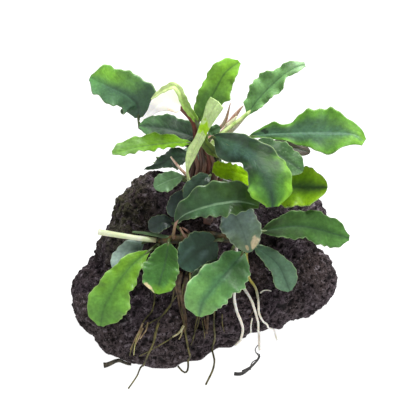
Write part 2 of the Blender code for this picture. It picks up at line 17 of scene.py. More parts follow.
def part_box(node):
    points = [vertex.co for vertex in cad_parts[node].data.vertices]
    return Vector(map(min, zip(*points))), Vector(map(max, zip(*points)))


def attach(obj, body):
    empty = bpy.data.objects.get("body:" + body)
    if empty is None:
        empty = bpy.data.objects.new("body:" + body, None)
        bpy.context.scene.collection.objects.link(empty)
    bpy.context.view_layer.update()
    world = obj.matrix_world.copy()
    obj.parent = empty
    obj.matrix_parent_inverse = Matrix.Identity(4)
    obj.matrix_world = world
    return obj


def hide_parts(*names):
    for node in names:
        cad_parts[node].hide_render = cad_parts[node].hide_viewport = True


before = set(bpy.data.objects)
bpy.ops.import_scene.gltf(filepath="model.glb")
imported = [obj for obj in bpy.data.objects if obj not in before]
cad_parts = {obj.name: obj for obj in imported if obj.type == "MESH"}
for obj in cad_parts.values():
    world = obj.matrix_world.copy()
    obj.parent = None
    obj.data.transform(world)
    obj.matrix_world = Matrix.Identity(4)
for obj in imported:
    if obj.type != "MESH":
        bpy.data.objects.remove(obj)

MM = 0.001
GAP = 0.35                    # clear space that the solids keep from each other
LINE_STEPS = 12               # of a smooth line, from one of its points to the next
BEFORE_END = 0.999999         # a share just short of the whole
MIDDLING = {1: 0.3, 2: 0.7}   # a Map Range's inputs for where most of a noise's values lie
WHITE = (1.0, 1.0, 1.0, 1.0)

log = logging.getLogger("bucephalandra")


def to_linear(colour: str) -> tuple[float, float, float, float]:
    """Turn an sRGB hex colour into the linear one that Blender's sockets take.

    Args:
        colour: Six hex digits after a hash.

    Returns:
        Red, green, blue and alpha.
    """
    parts = [int(colour[i:i + 2], 16) / 255 for i in (1, 3, 5)]
    red, green, blue = [c / 12.92 if c <= 0.04045 else ((c + 0.055) / 1.055) ** 2.4 for c in parts]
    return red, green, blue, 1.0


def fill_inputs(node: bpy.types.Node, inputs: dict) -> None:
    """Fill or link a node's inputs.

    Args:
        node: The node.
        inputs: For each input, by its name or place, a value, another node's output, or another
            node for its first output.
    """
    for key, value in inputs.items():
        if isinstance(value, bpy.types.Node):
            value = value.outputs[0]
        if isinstance(value, bpy.types.NodeSocket):
            node.id_data.links.new(value, node.inputs[key])
        else:
            node.inputs[key].default_value = value


def add_node(tree: bpy.types.NodeTree, kind: str, inputs: dict, **settings: object) -> bpy.types.Node:
    """Add a node with its settings and its inputs.

    Args:
        tree: The material's node tree.
        kind: The node's class, without the words that all shader nodes share.
        inputs: What each input is filled with or linked to.
        settings: The node's own properties.

    Returns:
        The new node.
    """
    node = tree.nodes.new("ShaderNode" + kind)
    for name, value in settings.items():
        setattr(node, name, value)
    fill_inputs(node, inputs)
    return node


def new_material(name: str) -> tuple[bpy.types.Material, bpy.types.NodeTree, bpy.types.Node]:
    """Start a material.

    Args:
        name: What the real surface is.

    Returns:
        The material, its node tree and its Principled BSDF.
    """
    material = bpy.data.materials.new(name)
    material.use_nodes = True
    return material, material.node_tree, material.node_tree.nodes["Principled BSDF"]


@dataclass(frozen=True)
class Patch:
    """A spot on a blade that has another colour; some spots are marks of the leaf's own, others painted
    shadow and painted sheen.
    """

    along: float              # share of the blade's length
    across: float             # -1 at the left margin, 1 at the right one
    long: float               # size along the blade, as a share of its length
    wide: float               # size across it, where a half of the blade is 1
    colour: str
    strength: float = 1.0
    soft: float = 0.5         # share of the spot over which it fades


@dataclass(frozen=True)
class LeafFinish:
    """A living leaf: waxy skin over green flesh, darker along the midrib and paler at the rim; some
    finishes also paint in shade, sheen and light shining through the blade.
    """

    base: str                 # colour by the petiole
    tip: str                  # colour by the tip
    heart: str                # colour of the band along the midrib
    margin: str
    turn: tuple[float, float] = (0.3, 0.8)   # shares between which base passes into tip
    heart_wide: float = 0.45
    heart_strength: float = 0.7
    margin_wide: float = 0.3
    margin_strength: float = 0.5
    rib: str = "#2b4030"      # the midrib's thin line
    rib_strength: float = 0.4
    veins: float = 0.05       # how strongly the side veins show
    quilting: float = 1.0     # how far the flesh stands up between the side veins
    rim: str = "#b9cf98"      # the thin edge itself
    rim_strength: float = 0.35
    speckles: float = 0.0
    roughness: float = 0.42
    gloss: float = 0.3
    patches: tuple[Patch, ...] = ()
    vein_count: int = 11      # side veins on each half
    vein_lean: float = -0.22  # how far they run on towards the tip, as a share of the blade
    vein_stray: float = 0.7   # how far they follow the drift
    cloud: float = 7.0        # size of the clouds in which the flesh has grown unevenly
    drift: float = 0.08       # how far the clouds shift the bands of colour
    mottle: float = 2.5       # size of the lighter spots between the veins
    grain: float = 1.3        # size of the grain of pores and dust
    dust: str = "#a9bda0"

    def material(self, name: str) -> bpy.types.Material:
        """Paint the blade by its own UV map, so the pattern follows the leaf.

        Args:
            name: The leaf finish's name.

        Returns:
            The material of the upper side.
        """
        material, tree, shader = new_material(name)
        chart = add_node(tree, "UVMap", {}, uv_map="UVMap")
        axes = add_node(tree, "SeparateXYZ", {0: chart})
        along = axes.outputs[0]
        hand = add_node(tree, "MapRange", {0: axes.outputs[1], 1: 0.0, 2: 1.0, 3: 1.0, 4: -1.0},
                        clamp=False)
        spot = add_node(tree, "TexCoord", {}).outputs["Object"]
        cloud, mottle, grain = [
            add_node(tree, "TexNoise", {"Vector": spot, "Scale": 1 / (size * MM), "Detail": detail})
            for size, detail in ((self.cloud, 3.0), (self.mottle, 2.0), (self.grain, 2.0))]
        drift = add_node(tree, "MapRange", {0: cloud, **MIDDLING, 3: -self.drift, 4: self.drift})
        side = add_node(tree, "Math", {0: hand}, operation="ABSOLUTE")
        across = add_node(tree, "Math", {0: side, 1: drift})
        further = add_node(tree, "Math", {0: along, 1: drift})

        # Side veins leave the midrib forwards
        run = add_node(tree, "Math", {0: side, 1: self.vein_lean, 2: along}, operation="MULTIPLY_ADD")
        run = add_node(tree, "Math", {0: drift, 1: self.vein_stray, 2: run}, operation="MULTIPLY_ADD")
        beat = add_node(tree, "Math", {0: run, 1: self.vein_count * math.tau}, operation="MULTIPLY")
        wave = add_node(tree, "Math", {0: beat}, operation="SINE")
        crest = (-0.3, 1.0)

        # Each band: what it is measured by, from where to where, its strength there, its colour
        bands = ((further, self.turn, (0.0, 1.0), self.tip),
                 (across, (0.02, self.heart_wide), (self.heart_strength, 0.0), self.heart),
                 (across, (1 - self.margin_wide, 1.0), (0.0, self.margin_strength), self.margin),
                 (side, (0.93, 0.99), (0.0, self.rim_strength), self.rim),
                 (wave, crest, (0.0, self.veins), self.margin),
                 (side, (0.03, 0.09), (self.rib_strength, 0.0), self.rib))
        layers = []
        for source, reach, strength, tint in bands:
            mask = add_node(tree, "MapRange", dict(enumerate((source, *reach, *strength))),
                            interpolation_type="SMOOTHSTEP")
            layers.append((mask, tint))
        if self.speckles:
            dots = add_node(tree, "MapRange", {0: grain, 1: 0.6, 2: 0.72, 3: 0.0, 4: self.speckles})
            layers.append((dots, self.dust))
        for patch in self.patches:
            layers.append((self.patch_mask(tree, patch, further, hand), patch.colour))
        colour = to_linear(self.base)
        for mask, tint in layers:
            colour = add_node(tree, "Mix", {0: mask, 6: colour, 7: to_linear(tint)},
                              data_type="RGBA").outputs[2]
        for pattern, depth in ((grain, 0.12), (mottle, 0.14)):
            depth *= self.quilting
            shade = add_node(tree, "MapRange", {0: pattern, **MIDDLING, 3: 1 - depth, 4: 1 + depth})
            colour = add_node(tree, "VectorMath", {0: colour, "Scale": shade}, operation="SCALE")

        vein = add_node(tree, "MapRange", dict(enumerate((wave, *crest, 0.0, self.quilting))),
                        interpolation_type="SMOOTHSTEP")
        height = add_node(tree, "Math", {0: mottle, 1: vein}, operation="SUBTRACT")
        bump = add_node(tree, "Bump", {"Strength": 0.15 * self.quilting, "Distance": 0.3 * MM,
                                       "Height": height})
        fill_inputs(shader, {"Base Color": colour, "Normal": bump, "Roughness": self.roughness,
                             "Specular IOR Level": self.gloss, "Subsurface Weight": 0.12,
                             "Subsurface Radius": (0.6, 1.0, 0.2), "Subsurface Scale": 1.0 * MM})
        return material

    def patch_mask(self, tree: bpy.types.NodeTree, patch: Patch, along: bpy.types.Node,
                   hand: bpy.types.Node) -> bpy.types.Node:
        """Where a patch lies, as an ellipse whose rim fades.

        Args:
            tree: The leaf's node tree.
            patch: The spot.
            along: The share of the blade's length.
            hand: The place across the blade.

        Returns:
            The patch's strength at each place.
        """
        x, y = [
            add_node(tree, "MapRange", {0: place, 1: middle, 2: middle + size}, clamp=False)
            for place, middle, size in ((along, patch.along, patch.long),
                                        (hand, patch.across, patch.wide))]
        both = add_node(tree, "CombineXYZ", {0: x, 1: y})
        away = add_node(tree, "VectorMath", {0: both}, operation="LENGTH").outputs["Value"]
        return add_node(tree, "MapRange", {0: away, 1: 1 - patch.soft, 2: 1.0, 3: patch.strength,
                                           4: 0.0}, interpolation_type="SMOOTHSTEP")


@dataclass(frozen=True)
class SkinFinish:
    """Plain plant skin on stalks, stems, roots and undersides, blotched from one tone to another."""

    light: str
    dark: str
    blotch: float = 3.0       # size of the blotches
    roughness: float = 0.5
    streak: float = 1.0       # how much longer than wide a blotch is, along Z
    other: str = ""           # a colour that the skin passes into
    axis: int = 2             # along which it does so
    turn: tuple[float, float] = (0.0, 1.0)      # where that begins and ends

    def material(self, name: str) -> bpy.types.Material:
        """Mix both tones by a noise, and pass into the other colour.

        Args:
            name: What the skin is.

        Returns:
            The material.
        """
        material, tree, shader = new_material(name)
        spot = add_node(tree, "TexCoord", {}).outputs["Object"]
        drawn = add_node(tree, "Mapping", {0: spot, 3: (1.0, 1.0, 1 / self.streak)})
        blot = add_node(tree, "TexNoise", {"Vector": drawn, "Detail": 4.0,
                                           "Scale": 1 / (self.blotch * MM)})
        bands = [(blot, 0.35, 0.65, self.dark)]
        if self.other:
            axes = add_node(tree, "SeparateXYZ", {0: spot})
            begin, end = self.turn
            bands.append((axes.outputs[self.axis], begin * MM, end * MM, self.other))
        colour = to_linear(self.light)
        for source, begin, end, tint in bands:
            mask = add_node(tree, "MapRange", {0: source, 1: begin, 2: end},
                            interpolation_type="SMOOTHSTEP")
            colour = add_node(tree, "Mix", {0: mask, 6: colour, 7: to_linear(tint)},
                              data_type="RGBA").outputs[2]
        bump = add_node(tree, "Bump", {"Strength": 0.3, "Distance": 0.2 * MM, "Height": blot})
        fill_inputs(shader, {"Base Color": colour, "Normal": bump, "Roughness": self.roughness,
                             "Subsurface Weight": 0.08, "Subsurface Scale": 0.8 * MM})
        return material


@dataclass(frozen=True)
class LavaFinish:
    """Scoria, a porous lava: dull and purple-brown, with painted shade that makes its holes nearly black.
    """

    brown: str = "#3b302f"
    purple: str = "#41363e"
    # painted shade, deep in the holes, the pinholes and the gaps between the grit
    hole: str = "#080708"
    # painted highlight on the crests of the grit
    crest_highlight: str = "#8a8087"
    algae: str = "#4c4d30"
    mineral: str = "#a29ca0"
    dust: str = "#5a5052"
    field: float = 22.0       # size of the brown and the purple areas
    stretch: float = 9.0      # size of the stretches where the painted highlight on the grit is stronger or weaker
    tuft: float = 4.0         # size of the algae's tufts
    grit: float = 2.1         # size of the grit, twice the real one's so that it shows
    pinhole: float = 1.1      # spacing of the pinholes between the holes that are modelled
    fleck: float = 2.6        # spacing of the flecks of mineral

    def material(self) -> bpy.types.Material:
        """Paint the stone by its place, and paint shade by how deep in a hole it is.

        Returns:
            The material.
        """
        material, tree, shader = new_material("scoria_lava")
        spot = add_node(tree, "TexCoord", {}).outputs["Object"]
        axes = add_node(tree, "SeparateXYZ", {0: spot})
        hollow = add_node(tree, "Attribute", {}, attribute_name="hollow").outputs["Fac"]
        field, stretch, moss, grit = [
            add_node(tree, "TexNoise", {"Vector": spot, "Scale": 1 / (size * MM), "Detail": detail,
                                        "Roughness": rough})
            for size, detail, rough in ((self.field, 2.0, 0.5), (self.stretch, 2.0, 0.5),
                                        (self.tuft, 4.0, 0.5), (self.grit, 5.0, 0.6))]
        cell, fleck = [add_node(tree, "TexVoronoi", {"Vector": spot, "Scale": 1 / (size * MM)})
                       for size in (self.pinhole, self.fleck)]
        # Each mask: how it passes, what it is measured by, from where to where, its values there
        rows = {
            "purple": ("LINEAR", field, 0.4, 0.6, 0.0, 1.0),
            "left": ("LINEAR", axes.outputs[0], -20 * MM, -45 * MM, 0.0, 1.0),
            "high": ("LINEAR", axes.outputs[2], 38 * MM, 58 * MM, 0.0, 1.0),
            "tuft": ("LINEAR", moss, 0.4, 0.56, 0.0, 0.9),
            "crest": ("LINEAR", grit, 0.53, 0.68, 0.0, 0.85),
            "highlit": ("LINEAR", stretch, 0.38, 0.62, 0.35, 1.0),
            "foot": ("SMOOTHSTEP", axes.outputs[2], 38 * MM, 8 * MM, 0.0, 0.45),
            "pinhole": ("SMOOTHSTEP", cell, 0.18, 0.42, 1.0, 0.0),
            "between": ("LINEAR", grit, 0.34, 0.46, 1.0, 0.0),
            "bright": ("LINEAR", fleck, 0.07, 0.12, 0.55, 0.0),
        }
        mask = {name: add_node(tree, "MapRange", dict(enumerate(values)), interpolation_type=course)
                for name, (course, *values) in rows.items()}
        # Algae on the upper left flank, where light reaches it
        flank = add_node(tree, "Math", {0: mask["left"], 1: mask["high"]}, operation="MULTIPLY")
        algae = add_node(tree, "Math", {0: flank, 1: mask["tuft"]}, operation="MULTIPLY")
        # Painted highlight: the crests of the grit are paler, more in some stretches than in others
        grain = add_node(tree, "Math", {0: mask["crest"], 1: mask["highlit"]}, operation="MULTIPLY")
        # Painted shade: dark in the holes, in the pinholes and between the grit
        deep = add_node(tree, "Math", {0: hollow, 1: mask["pinhole"]}, operation="MAXIMUM")
        deep = add_node(tree, "Math", {0: deep, 1: mask["between"]}, operation="MAXIMUM")
        dark = add_node(tree, "MapRange", {0: deep, 1: 0.1, 2: 1.0, 4: 0.85})
        # Laid over each other in this order; the foot is drier and greyer than the rest
        layers = ((mask["purple"], self.purple), (algae, self.algae), (mask["foot"], self.dust),
                  (grain, self.crest_highlight), (dark, self.hole), (mask["bright"], self.mineral))
        colour = to_linear(self.brown)
        for part, tint in layers:
            colour = add_node(tree, "Mix", {0: part, 6: colour, 7: to_linear(tint)},
                              data_type="RGBA").outputs[2]

        height = grit
        for hole in (mask["pinhole"], hollow):
            height = add_node(tree, "Math", {0: height, 1: hole}, operation="SUBTRACT")
        bump = add_node(tree, "Bump", {"Strength": 1.0, "Distance": 0.7 * MM, "Height": height})
        fill_inputs(shader, {"Base Color": colour, "Normal": bump, "Roughness": 0.9,
                             "Specular IOR Level": 0.2})
        return material


class LeafKind(Enum):
    """The finishes that the plant's leaves have."""

    # Blue-green, partly the leaf's waxy bloom and partly painted sheen
    GLAUCOUS_SHEEN = LeafFinish(base="#3f5d44", tip="#527c52", heart="#40604a", margin="#5b8058",
                          patches=(Patch(0.76, 0.62, 0.5, 0.8, "#78b03a", 0.9, 0.9),
                                   Patch(1.0, -0.2, 0.3, 0.9, "#5c9a4a", 0.6, 0.9)))
    UPRIGHT = LeafFinish(base="#6c985a", tip="#98bc8c", heart="#628c58", margin="#7cac66",
                         turn=(0.6, 0.95), roughness=0.5, gloss=0.2)
    DUSKY = LeafFinish(base="#2f4130", tip="#56804e", heart="#2d4032", margin="#466a46",
                       turn=(0.45, 1.0), roughness=0.5, gloss=0.2)
    # Brown-grey of a withering leaf, made darker by painted shade, since it lies behind the leaves in front
    WITHERING_SHADED = LeafFinish(base="#26331f", tip="#4a4238", heart="#283420", margin="#3e3a2c",
                           gloss=0.15)
    DEEP = LeafFinish(base="#344b3a", tip="#3a5240", heart="#2c4232", margin="#486245",
                      margin_strength=0.4, roughness=0.36, gloss=0.4)
    SLEEK = LeafFinish(base="#2b4834", tip="#375646", heart="#284431", margin="#42634a",
                       margin_strength=0.4, roughness=0.32, gloss=0.5,
                       # painted sheen: pale grey streaks across the middle of the dark blade
                       patches=(Patch(0.45, -0.3, 0.2, 0.3, "#6e8c86", 0.45, 0.95),
                                Patch(0.62, 0.35, 0.22, 0.2, "#5e7c74", 0.35, 0.95)))
    SHADOWED = LeafFinish(base="#1c2c1a", tip="#22341c", heart="#1a2a16", margin="#2a4024",
                          rim_strength=0.15)
    GLOOM = LeafFinish(base="#2c3a34", tip="#37463f", heart="#26322d", margin="#3d4f43",
                       margin_strength=0.3)
    BRIGHT = LeafFinish(base="#5f8a44", tip="#78ab30", heart="#5c8a34", margin="#74a63c",
                        heart_strength=0.5, roughness=0.5, gloss=0.2,
                        patches=(Patch(0.6, -0.85, 0.5, 0.5, "#84ba44", 0.8, 0.9),))
    LIME = LeafFinish(base="#6c9e10", tip="#6c944c", heart="#669622", margin="#6f9c30",
                      heart_strength=0.5, roughness=0.5, gloss=0.2,
                      patches=(Patch(1.0, 0.3, 0.08, 0.7, "#b08a78", 0.5, 0.8),))
    GRASSY = LeafFinish(base="#689626", tip="#64983e", heart="#4a7832", margin="#76a842",
                        heart_wide=0.55, margin_strength=0.7, rim="#b8cc88",
                        rib_strength=0.22)
    YOUNG = LeafFinish(base="#d8eca8", tip="#c6e09a", heart="#daeeae", margin="#b2d878",
                       veins=0.2, heart_strength=0.4, roughness=0.5, rib="#a8cc72",
                       patches=(Patch(0.6, 0.0, 0.09, 1.6, "#acdc18", 1.0, 0.4),))
    UNROLLING = LeafFinish(base="#6c9628", tip="#d6e8a4", heart="#b8d870", margin="#98c044",
                           turn=(0.1, 0.8), heart_strength=0.4, roughness=0.5, rib="#b4d678")
    # The lime tip, its patch and the broad lime margins are partly the leaf's own colour and partly painted
    # glow of light shining through the blade
    MATURE = LeafFinish(base="#405e42", tip="#74a83c", heart="#4a6e54", margin="#5e9230",
                        turn=(0.5, 1.0), heart_strength=0.85, margin_wide=0.6,
                        margin_strength=0.95, roughness=0.55, gloss=0.15, rib="#82a48c",
                        rib_strength=0.35,
                        patches=(Patch(1.0, 0.0, 0.2, 1.2, "#86ba4c", 0.8, 0.9),
                                 # painted shadow: a dark spot near the base, where a leaf above shades the
                                 # blade
                                 Patch(0.17, -0.4, 0.05, 0.4, "#1c2c20", 0.9, 0.4)))
    # The lime tip and the two lime margin patches are partly the leaf's own colour and partly painted glow
    # of light shining through the blade
    ARCHED = LeafFinish(base="#1e2f1f", tip="#4f8030", heart="#325036", margin="#34523a",
                        turn=(0.4, 0.85), heart_wide=0.55, heart_strength=1.0,
                        margin_strength=0.3, roughness=0.5, gloss=0.2,
                        # painted sheen: a blue-grey spot on the bend of the blade
                        patches=(Patch(0.34, 0.15, 0.2, 0.8, "#3e5a50", 0.7, 0.9),
                                 Patch(0.84, -0.92, 0.3, 0.42, "#80b834", 0.95, 0.9),
                                 Patch(0.92, 0.95, 0.3, 0.45, "#7ab034", 0.9, 0.9)))
    GLOSSY = LeafFinish(base="#2a4526", tip="#34501c", heart="#38573a", margin="#42643c",
                        rib="#8fae8a", rib_strength=0.6, roughness=0.36,
                        rim="#b4cc98",
                        # painted sheen: paler, greyer streaks over the middle of the blade
                        patches=(Patch(0.45, 0.45, 0.24, 0.8, "#587e58", 0.6, 0.9),
                                 Patch(0.4, -0.5, 0.3, 0.5, "#4c6e48", 0.5, 0.9),
                                 # darker yellow-green at the tip, like the tip colour: partly the leaf's
                                 # own colour and partly painted shadow of the arched leaf above
                                 Patch(0.97, 0.0, 0.3, 1.2, "#3c6008", 0.7, 0.9),
                                 # painted shadow of the arched leaf above
                                 Patch(0.73, -0.45, 0.08, 0.34, "#28461a", 0.75, 0.4)))
    SMALL = LeafFinish(base="#4b6c44", tip="#5e7f58", heart="#4a6a44", margin="#5f805a",
                       rib="#8aa886", rib_strength=0.25)
    # Bright yellow-green, partly the leaf's own yellowing and partly painted glow of light shining through
    # the blade
    YELLOWED_BACKLIT = LeafFinish(base="#6ea00a", tip="#86b81c", heart="#446630", margin="#9ac41c",
                          heart_wide=0.5, heart_strength=0.95, margin_strength=0.8,
                          margin_wide=0.5, rib_strength=0.2)
    AMBER = LeafFinish(base="#8ebe08", tip="#7c9e10", heart="#8cbc04", margin="#9ac80c",
                       turn=(0.6, 0.95), rib="#74a008", gloss=0.15)
    SHADED = LeafFinish(base="#3a5636", tip="#466a3c", heart="#344e32", margin="#4b6d40",
                        speckles=0.18, roughness=0.5, gloss=0.2)
    ASHEN = LeafFinish(base="#869e94", tip="#bcd4cc", heart="#a2bab0", margin="#c4d8d0",
                       rib="#9cae9f", rib_strength=0.3,
                       patches=(Patch(0.2, -0.4, 0.4, 1.1, "#3a5242", 0.85, 0.8),))
    # Grey-blue towards the base, partly the leaf's own grey-green and partly painted sheen; the tan spots
    # are real damage
    DAMAGED = LeafFinish(base="#748c84", tip="#667e5c", heart="#62786c", margin="#6c8060",
                         rib_strength=0.2, roughness=0.32, gloss=0.45, rim="#c8d4b8",
                         patches=(Patch(0.8, -0.62, 0.15, 0.4, "#d0c09a", 0.95, 0.35),
                                  Patch(0.9, 0.1, 0.08, 0.24, "#c2b48a", 0.9, 0.4)))
    # Dark by the petiole, with the patch there: partly the leaf's own colour and partly painted shade under
    # the leaves in front
    SIDEWAYS = LeafFinish(base="#1e2e14", tip="#4a7436", heart="#30502a", margin="#3f6430",
                          turn=(0.1, 0.85), roughness=0.62, gloss=0.12, rim="#a8c48c",
                          rim_strength=0.4,
                          patches=(Patch(0.0, 0.3, 0.24, 1.2, "#1a2a10", 0.8, 0.9),))
    LOW = LeafFinish(base="#4d7c42", tip="#7eb362", heart="#4c7a54", margin="#6ca266",
                     turn=(0.35, 1.0), heart_wide=0.35, rim="#c8dcae", rim_strength=0.5,
                     rib_strength=0.25)
    DOWNWARD = LeafFinish(base="#2f4a33", tip="#5c7e62", heart="#3f5f48", margin="#577858",
                          turn=(0.1, 0.8))
    SCARRED = LeafFinish(base="#31581f", tip="#487a38", heart="#366029", margin="#578c3c",
                         patches=(Patch(0.98, 0.0, 0.24, 1.3, "#74a82a", 0.75, 0.9),
                                  Patch(0.85, -0.75, 0.4, 0.45, "#6ea02c", 0.85, 0.9),
                                  Patch(0.9, 0.8, 0.12, 0.4, "#d8c69c", 0.95, 0.4)))
    SPATHE = LeafFinish(base="#fdf8ea", tip="#ffffff", heart="#fffefa", margin="#ffffff",
                        rib="#f7f2dc", rib_strength=0.1, veins=0.0, margin_strength=0.4,
                        quilting=0.0, rim_strength=0.0, roughness=0.6, gloss=0.1,
                        # warm tan towards the lower margin, partly the spathe's own pinkish tint and partly
                        # painted shade
                        patches=(Patch(0.25, -0.95, 0.35, 0.35, "#ecd6c0", 0.7, 0.9),))
    OLIVE = LeafFinish(base="#556628", tip="#5a7222", heart="#4c6422", margin="#66802e")


class SkinKind(Enum):
    """The finishes of stalks, stems, roots and the undersides of leaves."""

    UNDERSIDE = SkinFinish("#5c7a4c", "#4a5f40", 5.0, 0.5)
    UNDERSIDE_PALE = SkinFinish("#b4d47c", "#9cc25a", 4.0, 0.5)
    SPATHE_BACK = SkinFinish("#fbf6e6", "#efe8cf", 5.0, 0.5)
    PETIOLE_GREEN = SkinFinish("#5c6e3c", "#434f2a", 4.0, 0.42)
    PETIOLE_RED = SkinFinish("#7a4030", "#5a2c22", 3.0, 0.4)
    PETIOLE_PALE = SkinFinish("#e2ecb0", "#c6da86", 4.0, 0.45)
    PETIOLE_LIME = SkinFinish("#cfe098", "#8fb058", 2.5, 0.45, 2.0)
    PETIOLE_OLD = SkinFinish("#86604e", "#40291d", 2.5, 0.45, 3.0)
    PETIOLE_PINK = SkinFinish("#a8806c", "#8c7a58", 3.0, 0.42)
    CROWN = SkinFinish("#74544a", "#2e1a15", 3.0, 0.45, 2.5)
    RHIZOME = SkinFinish("#604c26", "#2a2a0e", 3.0, 0.55)
    SHEATH = SkinFinish("#ead2c0", "#b98674", 1.8, 0.45, 3.0)
    SHEATH_CREAM = SkinFinish("#fbf6e2", "#e4e0b4", 2.0, 0.45, 3.0)
    CUT_STALK = SkinFinish("#fafbe2", "#e4efbc", 4.0, 0.42, other="#8a6a48", axis=0,
                           turn=(-27.0, -20.0))
    WHITE_ROOT = SkinFinish("#fffdf4", "#ece4cf", 5.0, 0.5)
    YELLOWING_ROOT = SkinFinish("#fffdf4", "#ece4cf", 4.0, 0.5, other="#b9b052", turn=(29.0, 37.0))
    PALE_ROOT = SkinFinish("#d6d2ac", "#a29a62", 3.0, 0.5)
    BEIGE_ROOT = SkinFinish("#b39b7a", "#7a6644", 3.0, 0.55)
    YELLOW_ROOT = SkinFinish("#d8d08e", "#b4aa5c", 4.0, 0.5)
    OLIVE_ROOT = SkinFinish("#6f6838", "#3c3a1c", 4.0, 0.6)
    BROWN_ROOT = SkinFinish("#6b553c", "#3d2f22", 3.0, 0.65)
    DEAD_ROOT = SkinFinish("#5c5646", "#2e2a22", 2.0, 0.7)
    DRIED_ROOT = SkinFinish("#3a3633", "#171514", 1.5, 0.7)


class Palette:
    """Makes each finish's material once."""

    def __init__(self) -> None:
        """Start with no material made."""
        self.made: dict[Enum, bpy.types.Material] = {}

    def get(self, kind: Enum) -> bpy.types.Material:
        """The material of a finish.

        Args:
            kind: A leaf's or a skin's finish.

        Returns:
            Its material.
        """
        if kind not in self.made:
            family = "leaf" if isinstance(kind, LeafKind) else "plant"
            self.made[kind] = kind.value.material(f"{family}_{kind.name.lower()}")
        return self.made[kind]


@dataclass(frozen=True)
class Leaf:
    """A leaf: its petiole and then its midrib, from the blade's base to its tip."""

    name: str
    stalk: tuple
    rib: tuple
    face: tuple                          # way that the upper side looks
    kind: LeafKind
    petiole_kind: SkinKind = SkinKind.PETIOLE_GREEN
    under: SkinKind = SkinKind.UNDERSIDE
    width: float = 0.0                   # of a regular blade
    broadest: float = 0.58               # place of its widest point, as a share of the blade
    left: tuple = ()                     # how far that margin is from the midrib, at even shares of
    right: tuple = ()                    # the blade, where it isn't regular
    waves: int = 3                       # waves along each margin
    ripple: float = 1.0                  # height of a wave
    fold: float = 4.0                    # degrees that each half is raised from flat
    petiole: float = 0.75                # radius
    frill: float = 0.25                  # height of the small folds at the rim
    teeth: tuple = (0.03, 0.03)          # how far they draw the left and the right margin in and out
    crimps: float = 2.7                  # such folds to a wave

    @property
    def phase(self) -> int:
        """Where the waves begin, which differs from leaf to leaf."""
        return sum(ord(letter) for letter in self.name) % 7


@dataclass(frozen=True)
class Stem:
    """A round stem or stalk through its points, with a radius at each."""

    name: str
    points: tuple
    radii: tuple
    kind: SkinKind


@dataclass(frozen=True)
class Root:
    """A root that clings to the stone, with its radius at each end."""

    name: str
    points: tuple
    thick: float
    thin: float
    kind: SkinKind


